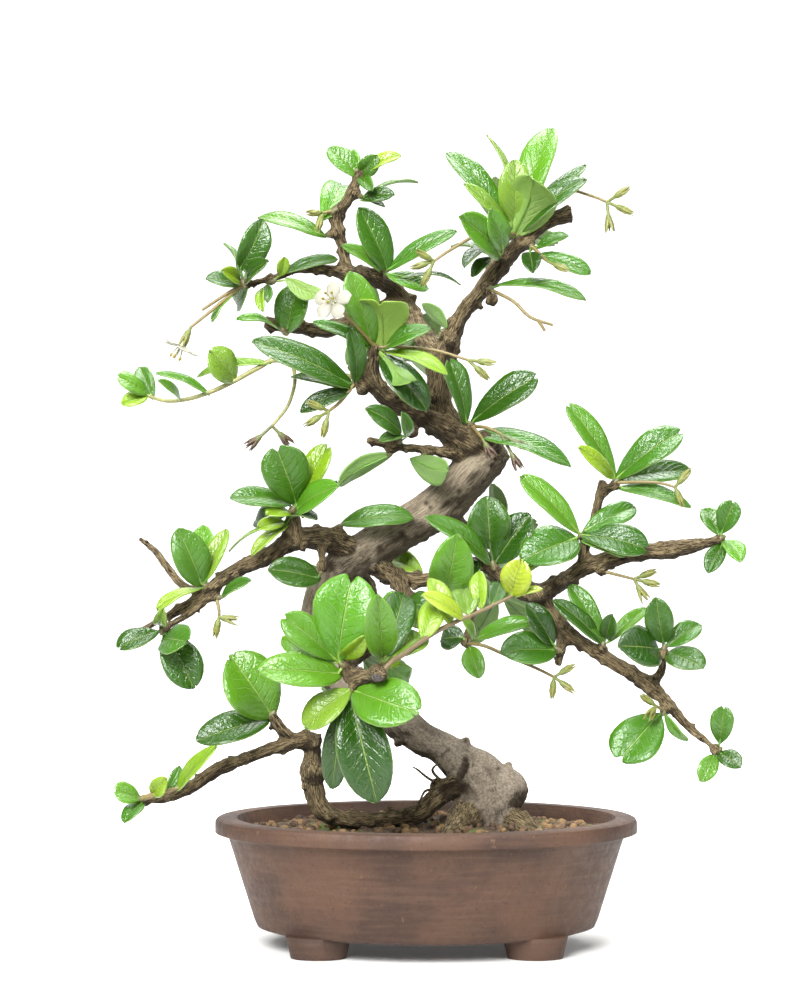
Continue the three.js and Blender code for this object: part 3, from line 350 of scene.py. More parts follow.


# %% [markdown]
# ## The tree, limb by limb
# Each limb is a line of stops from its root end to its tip, with its thickness in pixels as a fourth
# number. The stops were read along the middle of each branch in the front view, and the depths
# chosen so that branches leave the trunk on all sides.

# %% The limbs
LIMBS = {
    "trunk": [
        [490, 862, 0, 54], [488, 832, 0, 66], [486, 803, -1, 68], [478, 780, -2, 60], [461, 763, -1, 42],
        [441, 748, 0, 34], [420, 736, 0, 34], [397, 719, 0, 37], [368, 700, 2, 41], [335, 670, 4, 42],
        [320, 635, 4, 38], [321, 603, 2, 36], [333, 576, 0, 38], [358, 556, 0, 43], [400, 531, 0, 43],
        [440, 505, 0, 45], [470, 474, 0, 46], [490, 457, 0, 38]],
    "root_right": [[490, 812, 0, 46], [522, 828, -8, 28], [552, 845, -17, 14]],
    "root_front": [[472, 812, -4, 40], [452, 832, -19, 22], [442, 848, -30, 12]],
    "root_back": [[490, 812, 6, 42], [503, 830, 20, 24], [508, 848, 30, 12]],
    "low_stem": [
        [468, 783, -4, 32], [447, 789, -6, 25], [432, 803, -8, 22], [418, 814, -9, 21],
        [385, 820, -12, 19], [345, 820, -15, 18], [321, 808, -16, 21], [314, 788, -16, 23],
        [313, 768, -16, 22], [313, 750, -16, 19], [312, 735, -17, 22]],
    "low_branch": [
        [312, 737, -17, 20], [294, 742, -18, 18], [272, 749, -19, 14], [245, 759, -20, 13],
        [215, 771, -20, 15], [192, 787, -20, 15], [168, 797, -20, 11], [146, 801, -20, 7]],
    "low_stub": [[294, 742, -18, 15], [281, 729, -19, 13], [272, 716, -20, 12]],
    "left_branch": [
        [362, 556, 0, 32], [336, 543, -4, 27], [313, 538, -7, 25], [292, 541, -9, 22],
        [272, 554, -11, 20], [253, 563, -12, 18], [233, 572, -13, 16], [217, 584, -14, 13],
        [203, 595, -14, 12], [180, 609, -14, 11], [160, 620, -13, 8], [138, 632, -12, 6]],
    "left_spur": [[296, 545, -9, 18], [292, 518, -11, 17]],
    "left_twig": [[216, 592, -14, 8], [192, 612, -16, 7], [166, 627, -17, 6]],
    "left_upper_twig": [
        [205, 592, -14, 9], [184, 586, -13, 9], [169, 570, -12, 8], [156, 552, -11, 7],
        [139, 538, -10, 5]],
    "left_stub": [[322, 548, -8, 10], [322, 563, -9, 7]],
    "right_branch": [
        [368, 556, 0, 30], [385, 572, -1, 22], [403, 579, -2, 16], [424, 580, -3, 14], [450, 574, -4, 14],
        [476, 564, -4, 14], [499, 575, -4, 16], [530, 593, -5, 21], [561, 582, -5, 19],
        [585, 566, -5, 17], [630, 554, -6, 17], [682, 548, -8, 18], [718, 541, -8, 9]],
    "right_twig": [[583, 566, -5, 13], [585, 545, -5, 12], [595, 515, -6, 10], [603, 480, -6, 9]],
    "right_twig_side": [[599, 494, -6, 8], [614, 488, -8, 7]],
    "lower_right_branch": [
        [535, 590, -5, 21], [548, 608, -6, 19], [563, 629, -8, 19], [590, 648, -10, 15],
        [630, 673, -12, 16], [651, 687, -13, 18], [670, 705, -14, 12], [690, 728, -14, 9],
        [714, 747, -14, 6]],
    "lower_right_spur": [[563, 632, -8, 14], [558, 666, -8, 8]],
    "lower_right_twig": [[650, 684, -13, 14], [661, 672, -13, 10], [663, 656, -14, 8]],
    "dark_branch": [
        [480, 452, 0, 36], [440, 427, -6, 24], [420, 415, -9, 21], [400, 405, -12, 20],
        [385, 396, -14, 20], [372, 380, -16, 19], [352, 363, -18, 16]],
    "dark_knob": [[382, 392, -15, 16], [372, 372, -17, 17], [373, 354, -18, 12]],
    "thin_lower": [[464, 456, -3, 16], [430, 450, -8, 9], [400, 447, -11, 9], [367, 440, -14, 8]],
    "upper_limb": [
        [474, 460, 0, 38], [448, 428, 2, 31], [438, 400, 3, 28], [445, 355, 4, 25], [461, 317, 4, 17],
        [482, 291, 3, 16], [500, 267, 2, 17], [520, 245, 1, 17], [545, 224, 0, 14], [562, 216, -1, 16],
        [571, 214, -1, 20]],
    "back_limb": [
        [441, 360, 4, 24], [421, 331, 14, 21], [405, 305, 20, 20], [390, 287, 17, 18], [370, 277, 8, 17],
        [346, 272, 0, 17]],
    "crown_branch": [
        [350, 273, 0, 16], [325, 270, -2, 13], [305, 268, -3, 12], [290, 270, -4, 11], [278, 277, -4, 8],
        [262, 281, -4, 7], [247, 284, -4, 6]],
    "crown_twig": [
        [347, 275, 0, 15], [343, 250, 0, 12], [338, 231, -1, 13], [336, 214, -1, 15], [345, 204, -1, 12],
        [352, 190, -1, 11], [358, 178, -1, 10]],
    "stump_limb": [
        [404, 300, 20, 18], [380, 309, 17, 17], [355, 319, 14, 16], [330, 330, 11, 15], [300, 328, 8, 14],
        [265, 322, 6, 14]],
    "front_branch": [
        [396, 573, -1, 18], [404, 600, -11, 15], [394, 632, -24, 14], [372, 646, -32, 15],
        [349, 664, -38, 16], [354, 678, -42, 17], [376, 675, -48, 15]],
    "middle_twig": [[476, 566, -3, 10], [474, 602, 1, 8], [466, 641, -2, 8]],
    "hidden_low": [[345, 560, 6, 24], [370, 592, 18, 16], [368, 622, 31, 12], [362, 650, 42, 8]],
    "hidden_middle": [[440, 505, 6, 24], [466, 532, 18, 15], [488, 562, 31, 12], [498, 590, 43, 8]],
    "hidden_upper": [[440, 398, 5, 20], [405, 385, 18, 14], [384, 362, 31, 10], [376, 338, 42, 7]],
    "hidden_crown": [[480, 293, 5, 13], [494, 264, 18, 11], [508, 237, 34, 8]],
}
print(len(LIMBS), "limbs")

# %% [markdown]
# ## Foliage, spray by spray
# A spray is a cluster of leaves with the shoot, flower stalks and buds that grow from the same place. A
# leaf is [base x, base y, tip x, tip y, reach, width, turn, edge, tone]: reach is how many millimetres the
# tip stands behind its base, width is in pixels, turn rolls the face about the midrib in degrees, edge
# names the outline and tone the colour, which holds both the leaf's age and painted light and shade.

# %% The sprays
ROUND, NOTCHED, TOOTHED = "round", "notched", "toothed"
SPRAYS = {
    "crown_left": {"root": [244, 284, -5],
        "stalks": [
            {"path": [[228, 293, -8], [202, 310, -9]]},
            {"path": [[216, 307, -10], [191, 327, -12]], "heads": [[188, 333, -12, "cup"]]}],
        "leaves": [
            [240, 268, 264, 220, -4, 29, 25, ROUND, 1], [240, 272, 224, 243, 3, 17, 72, ROUND, 2],
            [246, 269, 262, 243, 9, 20, 15, ROUND, 2], [247, 281, 265, 261, -10, 20, -30, ROUND, 1],
            [240, 280, 221, 270, -9, 16, 15, ROUND, 5], [239, 284, 206, 278, -3, 21, 20, ROUND, 1],
            [246, 289, 237, 305, 10, 18, 10, ROUND, 1], [236, 293, 213, 322, -5, 16, 72, ROUND, 3]]},
    "crown_inner": {"root": [271, 283, -6], "leaves": [
        [281, 275, 285, 257, -3, 13, 10, ROUND, 5], [288, 280, 323, 294, -7, 20, 140, ROUND, 4],
        [268, 286, 268, 302, -3, 10, 0, ROUND, 2], [262, 289, 262, 311, -6, 10, 30, ROUND, 5],
        [286, 272, 338, 260, 8, 19, -40, ROUND, 1]]},
    "stump_leaves": {"root": [285, 333, 5], "leaves": [
        [287, 330, 300, 283, -2, 37, -12, ROUND, 2], [276, 327, 237, 319, -4, 15, 50, ROUND, 3]]},
    "crown_top": {"root": [359, 172, -1], "leaves": [
        [359, 176, 328, 148, 2, 24, 15, ROUND, 3], [358, 172, 347, 151, 6, 22, -20, ROUND, 3],
        [361, 172, 377, 156, -4, 20, 20, ROUND, 2], [367, 170, 400, 154, -3, 18, -30, ROUND, 5],
        [361, 176, 372, 190, -8, 14, 0, ROUND, 2]]},
    "crown_side": {"root": [334, 211, -3],
        "stalks": [
            {"path": [[322, 213, -5]], "heads": [[315, 213, -6, "bud"], [320, 221, -6, "bud"]]}],
        "leaves": [
            [326, 216, 344, 180, 9, 32, 0, ROUND, 3]]},
    "crown_long": {"root": [328, 236, -3], "leaves": [
        [322, 235, 258, 214, -4, 25, 30, ROUND, 3]]},
    "crown_right": {"root": [358, 195, -2], "leaves": [
        [365, 196, 418, 180, 2, 14, -62, ROUND, 2], [364, 197, 394, 194, -7, 18, -15, ROUND, 1],
        [362, 200, 385, 206, -4, 14, -50, ROUND, 1]]},
    "fork_leaves": {"root": [384, 270, 8], "leaves": [
        [387, 268, 358, 207, -6, 35, 15, ROUND, 2], [380, 270, 344, 245, -12, 18, 30, ROUND, 3],
        [376, 262, 350, 247, 3, 14, 20, ROUND, 2], [391, 268, 457, 231, -5, 21, -25, ROUND, 2],
        [390, 276, 430, 287, 6, 20, -10, ROUND, 3], [404, 277, 462, 281, 8, 9, -55, ROUND, 1]]},
    "dark_end": {"root": [375, 347, -19],
        "stalks": [
            {"path": [[352, 322, -27], [341, 310, -30]], "heads": [[338, 307, -32, "cup"]]},
            {"path": [[400, 347, -20], [434, 350, -22], [468, 360, -24]],
             "heads": [[485, 362, -25, "bud"], [481, 372, -24, "bud"]]}],
        "leaves": [
            [371, 343, 349, 271, -8, 35, 12, ROUND, 3], [383, 348, 380, 298, -12, 52, 168, NOTCHED, 5],
            [368, 347, 313, 322, -6, 19, 35, ROUND, 2], [385, 347, 430, 328, -6, 25, -30, ROUND, 2],
            [388, 352, 448, 373, -6, 20, -40, ROUND, 5], [386, 357, 413, 386, -12, 24, 150, ROUND, 3],
            [383, 358, 428, 410, -2, 34, -10, ROUND, 0]]},
    "dark_under": {"root": [351, 389, -19],
        "stalks": [
            {"path": [[340, 402, -21], [329, 411, -23]],
             "heads": [[317, 406, -24, "bud"], [314, 420, -24, "bud"], [325, 427, -23, "bud"]]}],
        "leaves": [
            [349, 384, 252, 341, -10, 37, 22, ROUND, 1], [342, 386, 290, 374, 5, 19, 30, ROUND, 1],
            [348, 391, 300, 411, -3, 20, 20, ROUND, 0], [356, 381, 351, 329, -3, 20, 25, ROUND, 1]]},
    "limb_leaf": {"root": [439, 333, 1], "leaves": [
        [446, 326, 422, 304, 2, 17, 150, ROUND, 2]]},
    "middle_hang": {"root": [402, 438, -15], "leaves": [
        [400, 431, 368, 408, -8, 24, 20, ROUND, 1], [403, 436, 379, 441, -4, 14, 40, ROUND, 2],
        [408, 436, 402, 412, -9, 14, 20, ROUND, 2]]},
    "middle_low": {"root": [390, 454, -12], "leaves": [
        [388, 456, 337, 485, -6, 25, 150, ROUND, 2]]},
    "middle_round": {"root": [427, 453, -10], "leaves": [
        [413, 460, 447, 472, -10, 27, 165, ROUND, 2]]},
    "top_right": {"root": [513, 229, -2],
        "stalks": [
            {"path": [[487, 231, -10], [452, 249, -13], [434, 261, -14]],
             "heads": [[425, 256, -15, "bud"], [421, 265, -14, "bud"], [427, 276, -14, "bud"]]},
            {"path": [[545, 205, 3], [565, 190, 1], [592, 196, -2], [607, 202, -3]],
             "heads": [[621, 193, -4, "bud"], [623, 209, -4, "bud"], [609, 222, -3, "star"]]}],
        "leaves": [
            [508, 226, 448, 150, 2, 28, 22, TOOTHED, 2], [508, 231, 464, 183, -7, 18, 30, ROUND, 4],
            [512, 222, 488, 134, 8, 16, 68, ROUND, 4], [516, 222, 515, 160, -5, 34, -5, ROUND, 4],
            [520, 222, 550, 124, 5, 36, -15, TOOTHED, 3], [515, 233, 537, 176, -14, 49, 160, ROUND, 4],
            [523, 229, 585, 177, -4, 27, -28, TOOTHED, 1], [524, 226, 586, 166, 8, 18, -20, ROUND, 1]]},
    "top_left_side": {"root": [496, 252, -3], "leaves": [
        [499, 253, 458, 216, -8, 36, 15, ROUND, 3], [503, 248, 489, 209, -3, 26, 10, ROUND, 3],
        [492, 246, 464, 268, -10, 18, 55, ROUND, 0], [490, 255, 451, 244, 4, 17, 55, ROUND, 0],
        [490, 258, 472, 276, -4, 14, 30, ROUND, 1]]},
    "top_low_side": {"root": [491, 291, -2],
        "stalks": [
            {"path": [[513, 301, -4], [530, 317, -6], [553, 325, -6]]},
            {"from": [538, 320, -6], "path": [[545, 331, -6]]}],
        "leaves": [
            [501, 285, 586, 302, -5, 22, -52, ROUND, 2]]},
    "top_right_side": {"root": [534, 249, -3],
        "stalks": [
            {"path": [[547, 261, -8]], "heads": [[560, 267, -10, "bud"]]}],
        "leaves": [
            [538, 247, 568, 235, -4, 15, -30, ROUND, 2], [540, 255, 591, 274, -4, 21, -18, TOOTHED, 2],
            [530, 253, 533, 272, -8, 20, 0, ROUND, 0]]},
    "knuckle_top": {"root": [472, 426, -3],
        "stalks": [
            {"path": [[488, 428, -9], [501, 434, -10]],
             "heads": [[519, 444, -11, "bud"], [515, 460, -11, "star"]]},
            {"path": [[482, 438, -13]], "heads": [[488, 449, -14, "star"]]}],
        "leaves": [
            [466, 421, 448, 359, -4, 28, 28, NOTCHED, 2], [462, 421, 442, 373, 6, 15, 55, ROUND, 0],
            [474, 420, 538, 376, -6, 36, -20, NOTCHED, 1], [478, 434, 571, 461, -8, 34, -35, ROUND, 2]]},
    "long_shoot": {"root": [360, 378, -14],
        "shoot": [[322, 372, -11], [278, 360, -9], [258, 368, -9], [238, 379, -9], [220, 388, -9],
            [205, 394, -9], [188, 399, -9], [168, 401, -9], [152, 397, -9], [136, 389, -9]],
        "stalks": [
            {"from": [293, 364, -9],
             "path": [[295, 380, -12], [292, 395, -14], [286, 409, -15], [272, 426, -16]],
             "heads": [[255, 441, -16, "star"], [284, 438, -15, "star"]]}],
        "leaves": [
            [234, 380, 210, 350, -6, 33, 15, TOOTHED, 4], [266, 363, 197, 377, 6, 18, 48, ROUND, 4],
            [207, 393, 156, 373, -4, 17, 45, ROUND, 3], [180, 399, 161, 380, -7, 12, 40, ROUND, 3],
            [146, 394, 117, 376, -5, 22, 25, NOTCHED, 3], [146, 396, 122, 404, -4, 18, 20, ROUND, 5],
            [152, 397, 140, 366, 4, 19, 0, ROUND, 2]]},
    "left_heart": {"root": [293, 510, -13], "leaves": [
        [296, 502, 275, 445, -8, 48, 10, NOTCHED, 2], [300, 501, 329, 445, -4, 30, -18, NOTCHED, 5],
        [288, 503, 230, 497, -6, 26, 28, ROUND, 2], [297, 509, 338, 486, -14, 32, -25, ROUND, 3],
        [304, 515, 337, 480, 4, 24, -40, ROUND, 1], [288, 511, 267, 513, -7, 21, 30, ROUND, 5],
        [293, 517, 316, 518, -9, 19, -55, ROUND, 0], [284, 522, 257, 528, -6, 16, 20, TOOTHED, 5],
        [286, 526, 251, 556, -5, 16, 38, ROUND, 5], [283, 524, 227, 549, 3, 9, 60, ROUND, 4],
        [282, 516, 254, 520, 7, 24, 20, ROUND, 0]]},
    "left_long": {"root": [338, 528, -6], "leaves": [
        [345, 523, 413, 516, -3, 30, -28, ROUND, 2]]},
    "left_under": {"root": [323, 576, -10], "leaves": [
        [318, 578, 268, 569, -6, 32, 15, ROUND, 1]]},
    "left_end": {"root": [205, 586, -17], "leaves": [
        [201, 583, 178, 529, -6, 38, 15, ROUND, 2], [204, 579, 203, 525, 6, 25, 0, ROUND, 3],
        [207, 577, 227, 529, 0, 20, -20, ROUND, 4], [198, 589, 156, 608, -5, 17, 50, TOOTHED, 5]]},
    "left_below": {"root": [219, 600, -16],
        "stalks": [
            {"path": [[219, 610, -17], [219, 617, -17]],
             "heads": [[217, 627, -17, "bud"], [228, 619, -17, "star"]]}],
        "leaves": [
            [222, 597, 251, 580, -7, 18, -38, ROUND, 2]]},
    "left_low": {"root": [163, 629, -18], "leaves": [
        [167, 636, 194, 688, -5, 40, -12, TOOTHED, 1], [164, 638, 190, 642, -13, 33, -10, NOTCHED, 2],
        [159, 625, 163, 610, -5, 14, 10, ROUND, 4], [157, 632, 118, 648, -5, 28, 25, NOTCHED, 1]]},
    "trunk_right": {"root": [494, 566, -6], "leaves": [
        [497, 560, 530, 514, -3, 38, -12, ROUND, 0], [490, 546, 487, 497, 5, 44, 0, ROUND, 1],
        [488, 562, 430, 516, -9, 26, 32, ROUND, 2]]},
    "trunk_front": {"root": [453, 584, -8], "leaves": [
        [445, 595, 457, 536, -6, 44, 5, ROUND, 3], [459, 584, 479, 561, 4, 22, -10, ROUND, 0]]},
    "trunk_under": {"root": [419, 570, 2], "leaves": [
        [420, 571, 388, 557, 5, 27, 15, TOOTHED, 5]]},
    "right_fork": {"root": [577, 535, -8], "leaves": [
        [576, 530, 520, 476, -3, 29, 20, TOOTHED, 3], [574, 539, 522, 560, -8, 48, 15, ROUND, 2],
        [583, 535, 648, 548, -6, 35, -22, NOTCHED, 1], [586, 530, 636, 506, 6, 26, -15, TOOTHED, 2],
        [584, 541, 625, 556, 5, 18, -35, ROUND, 3], [571, 546, 524, 574, 5, 15, 40, ROUND, 4]]},
    "branch_calyx": {"root": [602, 571, -7],
        "stalks": [
            {"path": [[614, 574, -8], [634, 579, -9]],
             "heads": [[647, 574, -9, "bud"], [650, 583, -10, "bud"], [641, 592, -9, "star"]]}],
        "leaves": []},
    "right_top": {"root": [615, 482, -9],
        "stalks": [
            {"path": [[640, 482, -12], [660, 483, -14], [675, 487, -15]],
             "heads": [[679, 497, -15, "bud"], [683, 478, -15, "bud"]]}],
        "leaves": [
            [614, 474, 567, 404, -3, 28, 20, NOTCHED, 3], [612, 477, 582, 448, -12, 18, 15, TOOTHED, 5],
            [618, 477, 681, 430, -4, 36, -22, NOTCHED, 2], [624, 478, 693, 469, 6, 26, -15, ROUND, 2],
            [622, 488, 691, 505, -5, 22, -32, ROUND, 2]]},
    "young_shoot": {"root": [383, 671, -50],
        "shoot": [[392, 661, -49], [404, 654, -47], [434, 633, -42], [462, 619, -38], [485, 609, -36],
            [512, 596, -34]],
        "leaves": [
            [462, 617, 423, 594, -6, 22, 28, ROUND, 6], [450, 622, 430, 577, 2, 22, 20, ROUND, 5],
            [424, 637, 437, 599, 4, 26, 0, ROUND, 5], [511, 594, 522, 560, -5, 32, -5, TOOTHED, 6],
            [516, 596, 542, 588, -4, 9, -40, ROUND, 6], [481, 607, 478, 571, 4, 19, -15, ROUND, 5],
            [468, 613, 464, 588, 6, 28, 0, ROUND, 4], [492, 605, 500, 581, 7, 20, 10, ROUND, 1]]},
    "middle_bottom": {"root": [468, 644, -4],
        "stalks": [
            {"path": [[485, 646, -8], [510, 657, -10], [538, 669, -11], [554, 677, -11]],
             "heads": [[553, 688, -11, "bud"], [566, 686, -12, "bud"], [566, 670, -10, "bud"]]}],
        "leaves": [
            [480, 637, 533, 620, -6, 22, -28, ROUND, 3], [470, 648, 480, 678, -6, 22, 10, ROUND, 3],
            [474, 638, 463, 617, -7, 13, 30, ROUND, 4], [462, 637, 440, 639, 3, 27, 15, ROUND, 0]]},
    "spur_leaves": {"root": [559, 650, -10], "leaves": [
        [553, 650, 500, 652, -6, 38, 20, ROUND, 2], [552, 643, 527, 603, 5, 26, 15, ROUND, 0]]},
    "lower_right_top": {"root": [604, 644, -13], "leaves": [
        [600, 641, 553, 600, -4, 22, 28, ROUND, 1], [603, 638, 569, 585, 3, 22, 15, TOOTHED, 2],
        [606, 638, 612, 614, -6, 18, -10, ROUND, 1], [610, 640, 648, 608, 6, 16, -28, ROUND, 3]]},
    "lower_right_mid": {"root": [664, 649, -15], "leaves": [
        [657, 649, 618, 646, -9, 44, 15, ROUND, 0], [663, 641, 656, 597, -4, 29, -10, ROUND, 1],
        [669, 645, 700, 624, 3, 24, -20, ROUND, 2], [669, 653, 704, 668, -8, 32, -20, ROUND, 1]]},
    "lower_right_leaf": {"root": [662, 713, -17],
        "stalks": [
            {"path": [[656, 706, -20]], "heads": [[648, 700, -21, "bud"], [652, 712, -22, "star"]]}],
        "leaves": [
            [658, 716, 618, 761, -8, 48, 10, NOTCHED, 2], [666, 716, 688, 742, 4, 12, 40, ROUND, 3]]},
    "lower_right_end": {"root": [717, 751, -15], "leaves": [
        [720, 742, 724, 706, -4, 24, -10, NOTCHED, 2], [720, 753, 741, 768, -5, 22, -20, ROUND, 1],
        [714, 756, 701, 782, -3, 20, 10, ROUND, 3]]},
    "right_end": {"root": [720, 539, -9], "leaves": [
        [722, 532, 734, 500, -3, 24, -10, NOTCHED, 2], [726, 541, 741, 560, -8, 22, -25, ROUND, 3],
        [722, 545, 708, 573, -5, 20, 20, ROUND, 1], [718, 533, 703, 508, 3, 20, 15, ROUND, 2]]},
    "front_upper": {"root": [341, 664, -42], "leaves": [
        [338, 657, 352, 575, -5, 64, -5, NOTCHED, 3], [334, 658, 282, 616, -6, 35, 18, NOTCHED, 3],
        [338, 674, 259, 669, -10, 38, 15, ROUND, 3], [342, 657, 368, 634, -9, 18, 25, ROUND, 5],
        [328, 660, 281, 638, 6, 24, 10, ROUND, 3]]},
    "front_middle": {"root": [385, 659, -45], "leaves": [
        [382, 655, 377, 592, -9, 33, 5, ROUND, 3], [387, 653, 405, 590, 6, 36, 0, ROUND, 1],
        [385, 663, 401, 662, -4, 9, 0, ROUND, 5], [390, 655, 424, 634, 8, 28, -10, ROUND, 4],
        [391, 668, 410, 680, 5, 26, 15, ROUND, 2]]},
    "front_lower": {"root": [352, 690, -44], "leaves": [
        [355, 691, 420, 714, -13, 52, -6, TOOTHED, 3], [348, 691, 304, 727, -8, 36, 18, TOOTHED, 4],
        [352, 702, 377, 803, -3, 54, 0, ROUND, 0], [348, 704, 333, 789, 5, 30, 20, ROUND, 0]]},
    "front_back": {"root": [407, 606, -17], "leaves": [
        [405, 606, 432, 606, -6, 32, -25, ROUND, 1], [397, 606, 386, 594, 2, 20, 10, ROUND, 3],
        [408, 610, 420, 627, -6, 18, 0, ROUND, 4]]},
    "low_left": {"root": [272, 714, -21], "leaves": [
        [271, 714, 231, 656, -6, 58, 8, TOOTHED, 3], [266, 720, 196, 742, -6, 38, 25, ROUND, 1]]},
    "low_end": {"root": [141, 799, -23],
        "shoot": [[158, 793, -25], [180, 787, -25]],
        "leaves": [
            [178, 788, 217, 746, -5, 19, -28, ROUND, 5], [168, 790, 180, 766, 2, 11, 10, ROUND, 2],
            [152, 794, 166, 778, -6, 18, 0, ROUND, 5], [140, 798, 113, 790, -4, 24, 25, NOTCHED, 3],
            [142, 803, 124, 822, -6, 20, 30, ROUND, 2]]},
}
BACK_SPRAYS = {
    "back_low_a": {"root": [361, 655, 44], "heading": [0.1, 0.9, -0.4], "count": 5, "reach": 15},
    "back_low_b": {"root": [358, 606, 26], "heading": [-0.9, 0.4, 0.1], "count": 5, "reach": 15},
    "back_middle_a": {"root": [499, 595, 45], "heading": [0.1, 1, -0.2], "count": 5, "reach": 15},
    "back_middle_b": {"root": [493, 538, 25], "heading": [0.6, 0.6, 0.5], "count": 5, "reach": 14},
    "back_upper_a": {"root": [376, 332, 44], "heading": [-0.1, 0.9, 0.4], "count": 5, "reach": 15},
    "back_upper_b": {"root": [400, 358, 28], "heading": [0.5, 0.5, 0.6], "count": 5, "reach": 14},
    "back_crown": {"root": [509, 232, 36], "heading": [0, 0.8, 0.6], "count": 5, "reach": 12},
}
print(len(SPRAYS), "sprays in front,", len(BACK_SPRAYS), "behind")

# %% [markdown]
# ## Where a spray sits
# A root read from the front view can hang a little off the bark that carries it. It is drawn in along the
# shortest way to the nearest stretch of limb, until it is sunk in the bark.

# %% Seats on the bark
SEAT_CLEARANCE = 0.6


def radius_at(stop):
    return stop[3] * scale_at(stop[2]) / 2


def limb_stretches():
    """Start, step and radius of the plain model's straight stretches of wood."""
    rows = []
    for stops in LIMBS.values():
        for first, second in zip(stops[:-1], stops[1:]):
            rows.append([*at(first), *(at(second) - at(first)), max(radius_at(first), radius_at(second))])
    return rows


def gaps_to(points, stretches):
    """The distance from each point to each stretch, and the nearest place on it."""
    start, step, radius = stretches[:, 0:3], stretches[:, 3:6], stretches[:, 6]
    away = points[:, None, :] - start[None]
    share = np.clip(np.sum(away * step[None], axis=2) / np.sum(step**2, axis=1), 0, 1)
    feet = start[None] + share[:, :, None] * step[None]
    return np.linalg.norm(points[:, None, :] - feet, axis=2) - radius, feet


WOOD = np.array(limb_stretches())
print(len(WOOD), "stretches of wood")


def seated(row):
    """A spray's root, drawn in to the bark where it would stand off it."""
    root = at(row)
    clear, feet = gaps_to(root[None], WOOD)
    nearest = np.argmin(clear[0])
    inward = unit(feet[0, nearest] - root)
    return root + inward * max(clear[0, nearest] - SEAT_CLEARANCE, 0)


# %% [markdown]
# ## The wood
# The trunk, its branches and its surface roots grew as one body, so they are one mesh. Tubes along the
# limbs, round knots and short spurs are only pushed through each other. A voxel remesh then wraps them in
# one skin, which fills the forks as living wood does, and is even enough to push bark into.

# %% Knots, spurs and short shoots
LIMB_STEPS = 5
KNOTS = [
    [490, 457, 0, 37], [505, 790, -3, 46], [313, 772, -17, 28], [336, 216, -1, 18], [346, 272, 0, 20],
    [652, 687, -13, 20], [459, 491, -5, 8], [402, 534, -5, 10], [380, 549, -5, 9], [492, 300, -1, 14],
    [362, 388, -17, 15], [412, 432, -9, 14], [372, 361, -18, 13], [460, 785, -6, 22], [331, 566, -4, 15],
    [376, 533, 0, 10], [466, 741, -1, 10], [560, 582, -9, 18], [537, 594, -9, 20], [292, 541, -10, 20],
    [257, 562, -12, 17], [216, 585, -15, 14], [450, 342, 0, 14], [521, 244, 0, 15], [566, 217, -1, 14],
    [630, 673, -13, 14], [596, 650, -11, 14], [245, 759, -21, 14], [300, 742, -18, 18], [420, 415, -10, 16],
    [495, 446, -3, 15], [498, 459, -1, 15], [494, 471, 0, 13], [484, 438, -5, 16], [456, 445, -4, 18],
    [399, 742, -2, 11], [509, 765, -2, 9], [438, 785, -6, 17], [451, 476, -1, 7], [435, 487, -1, 7],
]
SPUR_SPACING = 4.2
SPUR_HEIGHT = 0.9
THICKEST_WITH_SPURS = 4.5
SHORT_SHOOT_PAST = 0.9
SHORT_SHOOT_RADII = (1.9, 1.55, 0.9)
GOLDEN_TURN = 2.39996


def limb_line(stops):
    return smooth_line([at(stop) for stop in stops], [radius_at(stop) for stop in stops], LIMB_STEPS)


def knot_ball(stop):
    bpy.ops.mesh.primitive_uv_sphere_add(
        segments=16, ring_count=10, radius=radius_at(stop) * MM, location=at(stop) * MM)
    return bpy.context.object


def spur_tubes(places, radii, seed):
    """Short stubs where leaves once stood, on a spiral up a limb."""
    tubes = []
    lengths = np.linalg.norm(np.diff(places, axis=0), axis=1)
    along = np.concatenate([[0], np.cumsum(lengths)])
    stop = SPUR_SPACING * (0.5 + draw(seed))
    while stop < along[-1] - 1:
        i = min(np.searchsorted(along, stop), len(places) - 1)
        girth = radii[i]
        if girth < THICKEST_WITH_SPURS:
            around = GOLDEN_TURN * stop / SPUR_SPACING + 2 * draw(seed + stop)
            out = spoke(*across(unit(places[i] - places[i - 1])), around)
            tip = places[i] + out * (girth + SPUR_HEIGHT * (0.5 + draw(seed + 2 * stop)))
            tubes.append(((places[i], tip), (0.75 * girth, 0.3 + 0.2 * girth)))
        stop += SPUR_SPACING * (0.6 + 0.8 * draw(seed + 3 * stop))
    return tubes


def short_shoot(root):
    """The stub of bark that a spray stands on, from the middle of its limb to a little past the root."""
    clear, feet = gaps_to(root[None], WOOD)
    foot = feet[0, np.argmin(clear[0])]
    return (foot, root, root + SHORT_SHOOT_PAST * unit(root - foot)), SHORT_SHOOT_RADII


print(len(KNOTS), "knots")

# %% One skin
SAWN_STUB = [377, 673, -48]
SAWN_STUB_REACH = [0.2, -5.2, 0.1]
SAWN_STUB_RADII = (2.6, 2.4)
SKIN_VOXEL = 0.6
ALL_SPRAYS = {**SPRAYS, **BACK_SPRAYS}
LINES = {name: limb_line(stops) for name, stops in LIMBS.items()}

tubes = list(LINES.values()) + [short_shoot(seated(spray["root"])) for spray in ALL_SPRAYS.values()]
for seed, (places, radii) in enumerate(LINES.values()):
    tubes += spur_tubes(places, radii, seed)
wood = add_tubes("wood_skin", tubes, 3)
knots = [knot_ball(stop) for stop in KNOTS]
stub = at(SAWN_STUB)
stub = add_tubes("stub", [((stub, stub + SAWN_STUB_REACH), SAWN_STUB_RADII)], 3)
wood = join([wood, *knots, stub], "wood_skin")
settle_transform(wood)
apply_modifier(wood, "REMESH", mode="VOXEL", voxel_size=SKIN_VOXEL * MM, use_smooth_shade=True)
apply_modifier(wood, "SMOOTH", factor=0.5, iterations=2)
print("skin:", len(wood.data.vertices), "points")

